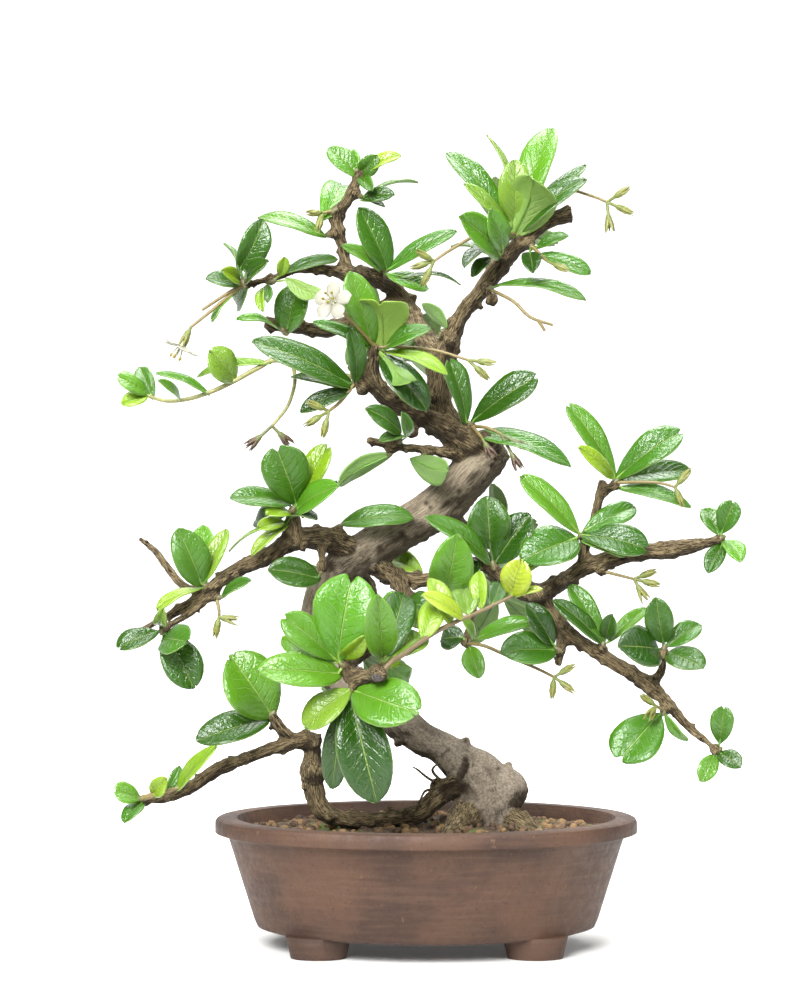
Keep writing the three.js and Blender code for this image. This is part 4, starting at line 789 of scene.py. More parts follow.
# %% [markdown]
# ## Bark
# Bark follows the limb it grew on, so every point of the skin is told where it lies along its limb. The
# attribute grain holds that place, stretched out straight, and girth holds how thick the limb is there.
# The trunk is smooth with long shallow flutes, and speckled at its foot. The branches are rough and lumpy
# from old leaf scars. All the wood gets painted shade where it faces down and away from the key light at
# the upper left, on a few rough spots and in the hollows of its relief.

# %% Grain and girth
CHUNK = 4000
SMOOTH_TRUNK = 1.4
GRAIN_GAP = 40


def grain_table():
    """Each short stretch of each limb: start, step, radius, arc length and two directions across."""
    rows = []
    for name, (places, radii) in LINES.items():
        smooth = SMOOTH_TRUNK if name == "trunk" else 1.0
        arc = 0.0
        first, second = across(unit(places[1] - places[0]))
        for i in range(len(places) - 1):
            step = places[i + 1] - places[i]
            way = unit(step)
            first = unit(first - way * np.dot(first, way))
            second = np.cross(way, first)
            rows.append([*places[i], *step, radii[i], radii[i + 1], arc, *first, *second, smooth])
            arc += np.linalg.norm(step)
        arc += GRAIN_GAP
    return np.array(rows)


def lay_grain(points, table):
    """The place along the nearest limb and the thickness of that limb, for every point."""
    grain = np.empty((len(points), 3))
    girth = np.empty(len(points))
    start, step = table[:, 0:3], table[:, 3:6]
    length2 = np.sum(step**2, axis=1)
    for low in range(0, len(points), CHUNK):
        away = points[low:low + CHUNK, None, :] - start[None]
        share = np.clip(np.sum(away * step[None], axis=2) / length2, 0, 1)
        off = away - share[:, :, None] * step[None]
        radius = table[:, 6] + share * (table[:, 7] - table[:, 6])
        nearest = np.argmin(np.linalg.norm(off, axis=2) - radius, axis=1)
        pick = np.arange(len(nearest))
        side = off[pick, nearest]
        row = table[nearest]
        arc = row[:, 8] + share[pick, nearest] * np.sqrt(length2[nearest])
        grain[low:low + CHUNK, 0] = np.sum(side * row[:, 9:12], axis=1)
        grain[low:low + CHUNK, 1] = np.sum(side * row[:, 12:15], axis=1)
        grain[low:low + CHUNK, 2] = arc
        girth[low:low + CHUNK] = radius[pick, nearest] * row[:, 15]
    return grain, girth


points = coordinates(wood.data) / MM
grain, girth = lay_grain(points, grain_table())
print("girth from", round(girth.min(), 2), "to", round(girth.max(), 2), "mm")

# %% Rough spots, painted shade and relief
ROUGH_SHADED_SPOTS = [
    [344, 560, 46], [362, 566, 40], [455, 440, 34], [313, 773, 32], [454, 788, 36], [505, 460, 22],
    [488, 484, 20], [473, 500, 28], [458, 516, 26], [443, 531, 26], [422, 548, 28], [396, 566, 30],
]
MARK_DEPTH = -5
FACES_VIEWER = 0.2
ROUGH_BELOW, ROUGH_FADE = 6.5, 4


def noise_of(points, size, stretch=1.0):
    scaled = points / (size, size, size * stretch)
    return np.array([noise.noise(Vector(place)) for place in scaled])


def normals_of(mesh):
    normals = np.empty(3 * len(mesh.vertices))
    mesh.vertices.foreach_get("normal", normals)
    return normals.reshape(-1, 3)


def mark(row):
    """How much each point lies inside a round mark on the side that faces the viewer."""
    centre = at([row[0], row[1], MARK_DEPTH])
    away = np.hypot(points[:, 0] - centre[0], points[:, 2] - centre[2])
    inside = np.clip(1.5 - 2 * away / (row[2] * MM_PER_PIXEL), 0, 1)
    return inside * (normals[:, 1] < FACES_VIEWER)


normals = normals_of(wood.data)
roughness = np.clip((ROUGH_BELOW - girth) / ROUGH_FADE, 0.15, 1)
# Painted shade: the bark is darkened where it faces down and away from the key light at the upper left,
# broken up by noise.
downward = 0.3 * normals[:, 0] - normals[:, 2]
painted_shade = np.clip(0.1 + 1.5 * downward + 0.8 * noise_of(points + 70, 4.0), 0, 1)
roughness = np.maximum(roughness, 0.8 * painted_shade)
# Each rough spot makes the bark rougher and also adds painted shade to it.
for row in ROUGH_SHADED_SPOTS:
    roughness = np.maximum(roughness, mark(row))
    painted_shade = np.maximum(painted_shade, 0.6 * mark(row))
knobbly = np.abs(noise_of(points, 2.6)) * 1.5 + noise_of(points + 50, 1.5) * 0.5
flutes = noise_of(grain, 5.0, 7.0) * 0.4 + noise_of(grain + 30, 1.6, 6.0) * 0.3
lumps = noise_of(points + 90, 6.0) * 0.5
slender = np.clip(girth / 3, 0.3, 1)
relief = slender * (roughness * (knobbly - 0.45) * 0.55 + flutes + 0.7 * lumps)
print("rough share of the bark:", round(roughness.mean(), 2))

# %% [markdown]
# Healed cuts and old scars are dark, and some are pressed in like the long slit at the foot of the trunk. A
# scar is [x, y, width, push]: it marks the bark that faces the viewer there, and sinks it by push
# millimetres. The mask cut marks the sawn end of a branch in the same way.

# %% Scars and the sawn end
SCARS = [
    [459, 491, 6, 0], [402, 534, 7, 0.3], [380, 549, 7, 0.4], [426, 503, 4, 0.2], [430, 507, 4, 0.2],
    [465, 759, 5, 1.0], [465, 764, 6, 1.4], [463, 769, 6, 1.6], [460, 774, 6, 1.6], [457, 779, 6, 1.4],
    [452, 784, 8, 1.4], [444, 787, 9, 1.2], [461, 787, 10, 1.0], [466, 741, 4, 0], [498, 768, 4, 0.2],
    [448, 750, 3, 0.1], [445, 753, 3, 0.1], [442, 756, 3, 0.1], [473, 764, 3, 0.1], [399, 744, 9, 0],
    [331, 566, 9, 0.2], [498, 452, 5, 0.7], [497, 459, 5, 0.9], [493, 466, 5, 0.7],
    [510, 461, 6, 0.3], [316, 628, 7, 0.3], [477, 449, 8, 0.2], [462, 438, 9, 0.2], [492, 300, 5, 0.2],
]
CUT = [*SAWN_STUB[:2], 17]
CUT_FACING = -0.7

scar = np.zeros(len(points))
for row in SCARS:
    inside = mark(row)
    scar = np.maximum(scar, inside)
    relief -= row[3] * inside
cut = mark(CUT) * (normals[:, 1] < CUT_FACING)
relief *= 1 - cut
set_coordinates(wood.data, (points + normals * relief[:, None]) * MM)
set_attribute(wood.data, "grain", "FLOAT_VECTOR", grain)
masks = {"girth": girth, "relief": relief, "painted_shade": painted_shade, "scar": scar, "cut": cut}
for name, values in masks.items():
    set_attribute(wood.data, name, "FLOAT", values[:, None])
print("relief from", round(relief.min(), 2), "to", round(relief.max(), 2), "mm")

# %% The bark's material
TRUNK_GIRTH = (4.7, 5.7)
SMOOTH_FOOT = (0.085, 0.065)


def bark_material():
    material, tree, shader, place = new_material("bark", 0.82)
    shader.inputs["Specular IOR Level"].default_value = 0.25
    grain_at = attribute(tree, "grain", "Vector")
    fibres = noise_at(tree, stretched(tree, grain_at, 0.12), 2.6, 6, 0.7)
    threads = noise_at(tree, stretched(tree, grain_at, 0.13), 3.0, 6, 0.72)
    patches = noise_at(tree, place, 95, 4)
    grit = noise_at(tree, place, 1500, 3, 0.7)
    thick = remap(tree, attribute(tree, "girth"), *TRUNK_GIRTH)
    foot = product(tree, thick, remap(tree, split(tree, place)[2], *SMOOTH_FOOT, 0, 0.8))
    light = shades(tree, fibres, 0.3, 0.66, "#5a4e3e", "#a39681")
    light = stained(tree, grit, 0.54, 0.68, light, "#4a3e2e", 0.5)
    light = stained(tree, patches, 0.48, 0.7, light, "#9a9078", 0.4)
    light = mix_colours(tree, foot, light, shades(tree, grit, 0.38, 0.62, "#665b4e", "#968b7d"))
    dark = shades(tree, threads, 0.38, 0.66, "#261c10", "#a6936e")
    dark = stained(tree, patches, 0.4, 0.7, dark, "#4c3e2a", 0.45)
    base = mix_colours(tree, thick, dark, light)
    # The colour of the painted shade, laid over the bark with ragged edges along the threads.
    below = shades(tree, threads, 0.42, 0.68, "#150f08", "#4a3d2a")
    ragged = product(tree, maths(tree, "SUBTRACT", 0.5, threads), 1.6)
    base = stained(tree, total(tree, attribute(tree, "painted_shade"), ragged), 0.28, 0.85, base, below, 0.8)
    # Painted shade in the hollows: the bark is darker where its relief is pressed in.
    base = stained(tree, attribute(tree, "relief"), 0.05, -0.45, base, "#2a2015", 0.6)
    base = mix_colours(tree, product(tree, attribute(tree, "scar"), 0.85), base, "#2c2015")
    sawn = shades(tree, grit, 0.35, 0.65, "#2e2a28", "#6a6461")
    base = stained(tree, attribute(tree, "cut"), 0.1, 0.6, base, sawn)
    tree.links.new(remap(tree, grit, 0.3, 0.7, 0.72, 0.95), shader.inputs["Roughness"])
    rough = product(tree, threads, remap(tree, thick, 0, 1, 1.3, 0.5))
    grooves = product(tree, fibres, remap(tree, foot, 0, 1, 1, 0.2))
    relief = total(tree, rough, product(tree, grit, 0.45))
    dress(tree, shader, base, total(tree, relief, grooves), 0.8, 0.0008)
    return material


BARK = bark_material()
print("bark:", len(BARK.node_tree.nodes), "nodes")

# %% [markdown]
# A few dead rootlets stick out at the foot of the trunk. They are thinner than the skin's voxels, so they
# join the wood after the bark is made.

# %% Rootlets
ROOTLETS = [
    [[446, 788, -7], [428, 778, -9], [418, 770, -11], [413, 767, -12]],
    [[446, 790, -7], [428, 790, -10], [422, 796, -12], [416, 812, -13]],
    [[446, 786, -7], [433, 772, -9], [435, 766, -10], [439, 764, -9]],
]
ROOTLET_RADII = (0.5, 0.22)
THREAD_STEPS = 4


def tapered(stops, radii, steps=THREAD_STEPS):
    """A smooth line through places, with a radius that goes evenly from the first to the last."""
    places, _ = smooth_line(stops, [1] * len(stops), steps)
    return places, np.linspace(*radii, len(places))


lines = [tapered([at(stop) for stop in stops], ROOTLET_RADII, LIMB_STEPS) for stops in ROOTLETS]
rootlets = add_tubes("rootlets", lines, 1)
set_attribute(rootlets.data, "grain", "FLOAT_VECTOR", coordinates(rootlets.data) / MM)
set_attribute(rootlets.data, "girth", "FLOAT", 1.0)
# The rootlets get a fixed share of painted shade.
set_attribute(rootlets.data, "painted_shade", "FLOAT", 0.6)
wood = join([wood, rootlets], "wood_skin")
shade_smooth(wood)
finish_piece(wood, BARK, "wood")

# %% [markdown]
# ## Leaves in the right places
# Leaves would cut through each other where the front view shows one over the other. So each tip swings
# back or forth along the line of sight until its blade is clear of its neighbours, which the front view
# doesn't show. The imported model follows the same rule, so a fine leaf lands on its plain one.

# %% Leaves as drawn and as grown
SHOOT_PARTS = 8
BACK_STALK = 2.5
TOWARD_VIEWER = np.array([0, -1.0, 0])


def nearest_on_shoot(stops, bx, by):
    """The place on a shoot that is nearest to a leaf's base in the front view."""
    best, miss = stops[0], math.inf
    for first, second in zip(stops[:-1], stops[1:]):
        for part in range(SHOOT_PARTS + 1):
            place = [a + part / SHOOT_PARTS * (b - a) for a, b in zip(first, second)]
            off = math.hypot(place[0] - bx, place[1] - by)
            if off < miss:
                best, miss = place, off
    return best


def root_of(spray, place):
    """Where a leaf or stalk starts: on the spray's own shoot as drawn, or else seated on the bark."""
    return at(place) if "shoot" in spray else seated(place)


def turned(vector, axis, degrees):
    """A vector turned about an axis."""
    angle = math.radians(degrees)
    return (vector * math.cos(angle) + np.cross(axis, vector) * math.sin(angle)
            + axis * np.dot(axis, vector) * (1 - math.cos(angle)))


def square_to(vector, axis):
    """The part of a vector that is square to an axis, at length one."""
    return unit(vector - axis * np.dot(vector, axis))


def drawn_leaves(spray):
    """The leaves of a spray that the front view shows."""
    leaves = []
    for bx, by, tx, ty, reach, width, turn, edge, tone in spray["leaves"]:
        root = nearest_on_shoot([spray["root"]] + spray.get("shoot", []), bx, by)
        leaves.append({
            "root": root_of(spray, root), "base": at([bx, by, root[2]]), "swing": [tx, ty, root[2] + reach],
            "width": width * scale_at(root[2]), "edge": edge, "tone": tone, "turn": turn})
    return leaves


def grown_leaves(spray, seed):
    """The leaves of a spray behind the tree: a spiral that opens away from the shoot's heading."""
    start = at(spray["root"])
    way = unit(np.array(spray["heading"], dtype=float))
    u = unit(np.cross([0, 0, 1.0], way))
    v = np.cross(way, u)
    leaves = []
    for i in range(spray["count"]):
        around = GOLDEN_TURN * i + draw(seed)
        opening = 0.55 + 0.75 * i / spray["count"] + 0.25 * draw(seed + i)
        length = spray["reach"] * (0.8 + 0.5 * draw(seed + i + 40))
        axis = spoke(way, spoke(u, v, around), opening)
        leaves.append({
            "root": root_of(spray, spray["root"]), "base": start + BACK_STALK * axis,
            "tip": start + (BACK_STALK + length) * axis, "tone": i % 3, "way": way,
            "width": length * (0.42 + 0.12 * draw(seed + i + 80)),
            "edge": [ROUND, NOTCHED, TOOTHED][i % 3]})
    return leaves


def swung(leaf, swing):
    """The leaf with its tip moved along the line of sight, and its face to match."""
    if "swing" in leaf:
        px, py, depth = leaf["swing"]
        tip = at([px, py, depth + swing])
    else:
        tip = leaf["tip"] + [0, swing, 0]
    axis = unit(tip - leaf["base"])
    if "way" in leaf:
        face = square_to(leaf["way"], axis)
    else:
        face = turned(square_to(TOWARD_VIEWER, axis), axis, leaf["turn"])
    return {**leaf, "face": face, "axis": axis, "length": np.linalg.norm(tip - leaf["base"])}


print(sum(len(spray["leaves"]) for spray in SPRAYS.values()), "leaves drawn")

# %% What a blade must keep clear of
LEAF_FOLD = 0.22
LEAF_ARCH = 0.09
SMALL_LEAF = 5.7
STALK_WIDTH = 1.2
SHOOT_WIDTH = 2
HEAD_WIDTH = 3
SAMPLE_STOPS = np.repeat([0.3, 0.45, 0.6, 0.72, 0.84, 0.96], 4)
SAMPLE_SIDES = np.tile([-1, -0.35, 0.35, 1], 6)
FIRST_HALF = {ROUND: 0.76, NOTCHED: 0.78, TOOTHED: 0.74}


def on_leaf(leaf, t, out, lift):
    """Points on a leaf: t runs from base to tip, out is millimetres from the midrib, lift is off it."""
    t, out, lift = (np.asarray(value, dtype=float)[..., None] for value in (t, out, lift))
    side = np.cross(leaf["face"], leaf["axis"])
    arch = LEAF_ARCH * leaf["length"] * np.sin(math.pi * t)
    return leaf["base"] + leaf["axis"] * t * leaf["length"] + side * out + leaf["face"] * (lift + arch)


def blade_samples(leaf):
    """Points all over a plain blade, where its gap to the rest is measured."""
    first = 1 if leaf["width"] < SMALL_LEAF else FIRST_HALF[leaf["edge"]]
    reach = np.where(SAMPLE_STOPS < 0.5, first + 0.1, np.where(SAMPLE_STOPS < 0.9, 0.95, 0.5))
    out = SAMPLE_SIDES * reach * leaf["width"] / 2
    return on_leaf(leaf, SAMPLE_STOPS, out, np.abs(out) * LEAF_FOLD)


def stem_table():
    """All wood and stems as stretches, with the spray that each belongs to."""
    rows = list(WOOD)
    owners = ["wood"] * len(rows)
    for name, spray in SPRAYS.items():
        lines = [([spray["root"]] + spray.get("shoot", []), SHOOT_WIDTH / 2)]
        for stalk in spray.get("stalks", []):
            lines.append(([stalk.get("from", spray["root"])] + stalk["path"], STALK_WIDTH / 2))
            lines += [([stalk["path"][-1], head], HEAD_WIDTH / 2) for head in stalk.get("heads", [])]
        for stops, radius in lines:
            for first, second in zip(stops[:-1], stops[1:]):
                rows.append([*at(first), *(at(second) - at(first)), radius])
                owners.append(name)
    return np.array(rows), np.array(owners)


STEMS, OWNERS = stem_table()
print(len(STEMS), "stretches to keep clear of")

# %% Swinging clear
BLADE_CLEARANCE = 2.4
SPRAY_CLEARANCE = 1.3
STEM_CLEARANCE = 1.1
SWING_STEP = 2.5
SWING_TRIES = 9
placed = {"points": np.empty((0, 3)), "stops": np.empty(0), "names": np.empty(0, dtype=object)}


def freedom(samples, name):
    """How far a blade's samples keep clear of the rest, as the worst of them."""
    clear, _ = gaps_to(samples, STEMS)
    clear -= STEM_CLEARANCE
    clear[:, OWNERS == name] = math.inf
    clear[np.ix_(SAMPLE_STOPS < 0.4, OWNERS == "wood")] = math.inf
    least = clear.min(axis=1)
    if len(placed["points"]):
        apart = np.linalg.norm(samples[:, None, :] - placed["points"][None], axis=2)
        same = placed["names"] == name
        apart -= np.where(same, SPRAY_CLEARANCE, BLADE_CLEARANCE)
        near_root = (SAMPLE_STOPS[:, None] < 0.5) | (placed["stops"][None] < 0.5)
        apart[near_root & same[None]] = math.inf
        least = np.minimum(least, apart.min(axis=1))
    worst = np.minimum.accumulate(least)
    failed = np.flatnonzero(worst < -BLADE_CLEARANCE)
    return worst[failed[0]] if len(failed) else worst[-1]


def settle(leaf, name):
    """The leaf at the first swing that is clear, or else at the best one."""
    best = (-math.inf, None, None)
    for attempt in range(SWING_TRIES):
        swing = SWING_STEP * math.ceil(attempt / 2) * (-1 if attempt % 2 else 1)
        candidate = swung(leaf, swing)
        samples = blade_samples(candidate)
        free = freedom(samples, name)
        if free > best[0]:
            best = (free, candidate, samples)
        if free >= 0:
            break
    placed["points"] = np.vstack([placed["points"], best[2]])
    placed["stops"] = np.concatenate([placed["stops"], SAMPLE_STOPS])
    names = np.array([name] * len(SAMPLE_STOPS), dtype=object)
    placed["names"] = np.concatenate([placed["names"], names])
    return best[1]


LEAVES = {}
for name, spray in SPRAYS.items():
    LEAVES[name] = [settle(leaf, name) for leaf in drawn_leaves(spray)]
for i, (name, spray) in enumerate(BACK_SPRAYS.items()):
    LEAVES[name] = [settle(leaf, name) for leaf in grown_leaves(spray, 100 * i)]
print(sum(len(leaves) for leaves in LEAVES.values()), "leaves settled")

# %% [markdown]
# ## A leaf blade
# Every blade starts as the same flat grid. Its rows are set along the leaf and drawn in to the outline, and
# the tip gets its notch or teeth. Then the sheet is folded along the midrib, arched, twisted a little and
# waved at the edge, each leaf by its own seeded draws, so that no two catch the light alike.

# %% The blank and the bend
LEAF_COLUMNS = 8
LEAF_ROWS = np.array([0, 0.06, 0.14, 0.24, 0.35, 0.46, 0.57, 0.68, 0.78, 0.87, 0.94, 0.985, 1.0])
LEAF_WIDEST = {ROUND: 0.56, NOTCHED: 0.7, TOOTHED: 0.64}
LEAF_TAPER = {ROUND: 0.72, NOTCHED: 0.92, TOOTHED: 0.82}
LEAF_CLOSING = {ROUND: 0.985, NOTCHED: 0.9, TOOTHED: 0.93}
LEAF_START = -0.07
NOTCH_DEPTH = 0.14
TOOTH_DEPTH = 0.035
BLADE_THICKNESS = 0.35
SKY_ROLL = 0.4

bpy.ops.object.select_all(action="DESELECT")
bpy.ops.mesh.primitive_grid_add(x_subdivisions=LEAF_COLUMNS, y_subdivisions=len(LEAF_ROWS) - 1, size=2)
blank = bpy.context.object
blank.name = "leaf_blank"
ACROSS = coordinates(blank.data)[:, 0]
ROW = np.round((coordinates(blank.data)[:, 1] + 1) / 2 * (len(LEAF_ROWS) - 1)).astype(int)
print("blank:", len(blank.data.polygons), "faces")


def half_widths(leaf):
    """The outline of a leaf at each row, as shares of half its width. A foreshortened leaf is rounder."""
    edge = leaf["edge"]
    stubby = np.clip(leaf["width"] / leaf["length"] - 0.7, 0, 0.6)
    widest = LEAF_WIDEST[edge] - 0.15 * stubby
    opening = (1 - (1 - np.minimum(LEAF_ROWS / widest, 1))**2)**(LEAF_TAPER[edge] - 0.4 * stubby)
    share = np.clip((LEAF_ROWS - widest) / (1 - widest), 0, 1)
    closing = (1 - LEAF_CLOSING[edge] * share**2)**0.55
    return np.maximum(opening * closing, 0.05)


def bent_blade(leaf, seed):
    """A copy of the blank, set to its outline and then folded, puffed, twisted, waved and drooped."""
    half = half_widths(leaf)[ROW]
    t = LEAF_START + (1 - LEAF_START) * LEAF_ROWS[ROW]
    wide = np.abs(ACROSS)
    near_tip = np.clip((t - 0.7) / 0.3, 0, 1)**2
    if leaf["edge"] == NOTCHED:
        share = min(leaf["width"] / leaf["length"], 1)
        t = t - NOTCH_DEPTH * share * near_tip * np.exp(-(wide / 0.34)**2)
    if leaf["edge"] == TOOTHED:
        t = t - TOOTH_DEPTH * near_tip * np.exp(-((wide - 0.5) / 0.16)**2)
    t = t - 0.015 * near_tip * wide**2
    out = -ACROSS * half * leaf["width"] / 2
    fold = LEAF_FOLD * (0.9 + 1.1 * draw(seed))
    puff = 0.055 * leaf["width"] * np.sin(math.pi * wide) * half
    twist = 0.7 * (draw(seed + 1) - 0.5)
    droop = 0.14 * (draw(seed + 2) - 0.25)
    phase = draw(seed + 3) + np.where(ACROSS > 0, 0.37, 0)
    wave = 0.035 * leaf["width"] * np.sin(2 * math.pi * (1.7 * t + phase)) * ACROSS**2
    roll = -SKY_ROLL * np.cross(leaf["face"], leaf["axis"])[2]
    lift = np.abs(out) * fold + puff + out * (roll + twist * t) + wave * np.minimum(3 * t, 1)
    lift -= droop * leaf["length"] * np.clip(t - 0.45, 0, 1)**2 * 3
    blade = copy_of(blank, "blade")
    set_coordinates(blade.data, on_leaf(leaf, t, out, lift) * MM)
    set_attribute(blade.data, "blade", "FLOAT_VECTOR", np.stack([ACROSS, t, np.ones(len(t))], axis=1))
    return blade


# %% [markdown]
# ## Colours of the foliage
# Old leaves are deep green, and young ones near the shoot tips are bright yellow-green. The tones were
# also set leaf by leaf to how lit or shaded each looks, so they hold painted light and shade as well. Stalks
# are tan or olive, and flowers that are over leave dry brown calyxes.

# %% Foliage
# Tone 5 is a pale green that paints light on leaves that look lit or backlit, and darker tones paint shade
# on some leaves.
TONES = ["#224809", "#2f5a0d", "#417416", "#588e1f", "#769b30", "#86aa20", "#a6bc2e"]
STEM_COLOURS = {"long_shoot": "#8f8f52", "young_shoot": "#74603e"}
STALK_COLOUR = "#80703c"
KNOB_COLOUR = "#5d5a2e"
FRESH_HEAD, DRY_HEAD = ("#6d7a2c", "#7c8034"), ("#5c662a", "#42260f")
DRY_SPRAYS = ("long_shoot", "knuckle_top")


def tone_of(leaf, seed):
    base = np.array(colour(TONES[leaf["tone"]])[:3])
    varied = base * (0.86 + 0.28 * draw(seed + 4)) * [1 + 0.16 * (draw(seed + 5) - 0.5), 1, 1]
    return (*varied, 1)


def foliage_material():
    material, tree, shader, place = new_material("foliage", 0.3)
    sideways, along, on_blade = split(tree, attribute(tree, "blade", "Vector"))
    across_blade = maths(tree, "ABSOLUTE", sideways)
    is_blade = maths(tree, "MULTIPLY", on_blade, 1.0, clamp=True)
    tint = attribute(tree, "tint", "Color")
    under = attribute(tree, "under")
    mottle = noise_at(tree, place, 260, 3)
    slant = maths(tree, "SUBTRACT", along, product(tree, across_blade, 0.3))
    offset = total(tree, slant, product(tree, sideways, 0.06))
    wavy = total(tree, product(tree, offset, 7.5), product(tree, mottle, 0.7))
    veins = remap(tree, maths(tree, "PINGPONG", wavy, 0.5), 0.0, 0.14, 1, 0)
    veins = product(tree, veins, remap(tree, across_blade, 0.25, 1.0, 1, 0))
    midrib = remap(tree, across_blade, 0.012, 0.05, 1, 0)
    dull = mix_colours(tree, remap(tree, mottle, 0.35, 0.7, 0, 0.4), tint, "#3a4a20", "MULTIPLY")
    base = stained(tree, mottle, 0.3, 0.75, tint, dull, 0.16)
    base = mix_colours(tree, product(tree, veins, 0.08), base, "#a9c45c")
    base = mix_colours(tree, product(tree, midrib, 0.42), base, "#b6cf72")
    # A pale rim along each blade's edge: a painted highlight.
    base = stained(tree, across_blade, 0.93, 1.0, base, "#b9d476", 0.25)
    back = mix_colours(tree, 0.4, base, "#a4bf76")
    blade = mix_colours(tree, product(tree, under, 0.8), base, back)
    stem = stained(tree, noise_at(tree, place, 900, 4, 0.65), 0.4, 0.7, tint, "#5b4a2c", 0.45)
    base = mix_colours(tree, is_blade, stem, blade)
    glossy = product(tree, is_blade, maths(tree, "SUBTRACT", 1.0, under))
    tree.links.new(remap(tree, glossy, 0, 1, 0.5, 0.14), shader.inputs["Roughness"])
    shader.inputs["Specular IOR Level"].default_value = 0.85
    sunk = product(tree, total(tree, veins, product(tree, midrib, 2.5)), -0.25)
    pebbles = product(tree, noise_at(tree, place, 1500, 2, 0.6), 0.5)
    ripples = product(tree, noise_at(tree, place, 520, 2), 0.15)
    dress(tree, shader, base, total(tree, sunk, total(tree, pebbles, ripples)), 0.8, 0.0007)
    let_light_through(tree, shader, mix_colours(tree, 0.55, base, "#a8d838"), product(tree, is_blade, 0.2))
    return material


FOLIAGE = foliage_material()
print("foliage:", len(FOLIAGE.node_tree.nodes), "nodes")

# %% [markdown]
# ## Stems, buds and calyxes
# Shoots, stalks and leaf stalks are thin tapered tubes. A leaf stalk runs on under its blade as the
# midrib. A bud is a tube that swells and closes, and an open calyx is five narrow sepals on its stalk.

# %% Calyxes, stalks and leaf stalks
SEPALS = 5
SPREADS = {"bud": 0.3, "cup": 0.8, "star": 1.3}
CUP_STOPS = np.array([-2.2, -1.4, -0.2, 0.9])
CUP_RADII = (0.4, 0.45, 0.85, 1.0, 0.7)
SEPAL_RADII = (0.55, 0.5, 0.08)
STALK_RADII = (0.55, 0.4)
PETIOLE_STOPS = (0.14, 0.4, 0.7)
PETIOLE_RADII = (0.42, 0.34, 0.25, 0.12)
PETIOLE_FOOT = 0.5


def calyx_tubes(place, way, stem, seed, spread):
    """A short cup on its stalk with five narrow pointed sepals, closed or open by their spread."""
    cup = ([stem, *(place + rise * way for rise in CUP_STOPS)], CUP_RADII)
    sepals = []
    for i in range(SEPALS):
        out = spoke(*across(way), 2 * math.pi * i / SEPALS + draw(seed))
        reach = spread * (0.8 + 0.4 * draw(seed + i))
        length = 2.6 + 0.9 * draw(seed + 9 * i)
        stops = [
            place - 1.0 * way + 0.3 * out, place + 0.8 * way + (0.55 + 0.3 * reach) * out,
            place + length * way + (0.2 + reach) * out]
        sepals.append((stops, SEPAL_RADII))
    return cup, sepals


def stalk_lines(spray, root):
    """The stalks of a spray and the heads on their ends."""
    stalks, cups, sepals = [], [], []
    for seed, stalk in enumerate(spray.get("stalks", [])):
        start = at(stalk["from"]) if "from" in stalk else root
        places, radii = tapered([start] + [at(stop) for stop in stalk["path"]], STALK_RADII)
        stalks.append((places, radii))
        for head in stalk.get("heads", []):
            place = at(head)
            way = unit(place - places[-1])
            centre = place + 1.2 * way if head[3] == "cup" else place
            cup, tips = calyx_tubes(centre, way, places[-1], 10 * seed + head[0], SPREADS[head[3]])
            cups.append(cup)
            sepals += tips
    return stalks, cups, sepals


def petiole(leaf):
    """A leaf's stalk, which runs on under the blade as its midrib."""
    size = min(max(leaf["width"] / 8, 0.45), 1)
    stops = [leaf["base"]] + [on_leaf(leaf, t, 0, -0.3 * size) for t in PETIOLE_STOPS]
    radii = PETIOLE_RADII
    if np.linalg.norm(leaf["root"] - leaf["base"]) > 0.3:
        stops.insert(0, leaf["root"])
        radii = (PETIOLE_FOOT, *radii)
    return stops, np.array(radii) * size


def tinted(name, lines, code, resolution=1):
    tubes = add_tubes(name, lines, resolution)
    set_attribute(tubes.data, "tint", "FLOAT_COLOR", colour(code))
    shade_smooth(tubes)
    return tubes


print(sum(len(spray.get("stalks", [])) for spray in SPRAYS.values()), "stalks drawn")

# %% A whole spray
KNOB_STOPS = (-1.2, 0, 1.1, 1.8)
KNOB_RADII = (0.8, 1.0, 0.8, 0.3)
SHOOT_RADII = (0.8, 0.48)


def leaf_sheet(name, leaves, number):
    """All blades of a spray as one mesh, thickened downwards, with their undersides marked."""
    blades = []
    for i, leaf in enumerate(leaves):
        seed = 17 * number + 3.7 * i
        blades.append(bent_blade(leaf, seed))
        set_attribute(blades[-1].data, "tint", "FLOAT_COLOR", tone_of(leaf, seed))
    sheet = join(blades, name)
    shade_smooth(sheet)
    count = len(sheet.data.vertices)
    apply_modifier(sheet, "SOLIDIFY", thickness=BLADE_THICKNESS * MM, offset=-1)
    under = np.zeros((len(sheet.data.vertices), 1))
    under[count:] = 1
    set_attribute(sheet.data, "under", "FLOAT", under)
    return sheet


def knob(root, leaves):
    """The swollen end of the short shoot, under the leaves that it bears."""
    middle = np.mean([leaf["base"] for leaf in leaves], axis=0)
    way = unit(middle - root) if np.linalg.norm(middle - root) > 0.1 else TOWARD_VIEWER
    return [root + rise * way for rise in KNOB_STOPS], KNOB_RADII


def spray_piece(name, spray, leaves, number):
    root = root_of(spray, spray["root"])
    stalks, cups, sepals = stalk_lines(spray, root)
    stem_code = STEM_COLOURS.get(name, STALK_COLOUR)
    cup_code, sepal_code = DRY_HEAD if name in DRY_SPRAYS else FRESH_HEAD
    parts = []
    if leaves:
        petiole_code = TONES[min(leaves[0]["tone"] + 1, 4)]
        parts.append(leaf_sheet(name, leaves, number))
        parts.append(tinted(name, [petiole(leaf) for leaf in leaves], petiole_code))
        parts.append(tinted(name, [knob(root, leaves)], KNOB_COLOUR, 2))
    if "shoot" in spray:
        shoot = tapered([root] + [at(stop) for stop in spray["shoot"]], SHOOT_RADII)
        parts.append(tinted(name, [shoot], stem_code, 2))
    if stalks:
        parts.append(tinted(name, stalks, stem_code))
    if cups:
        parts += [tinted(name, cups, cup_code, 2), tinted(name, sepals, sepal_code)]
    return join(parts, name + "_foliage")


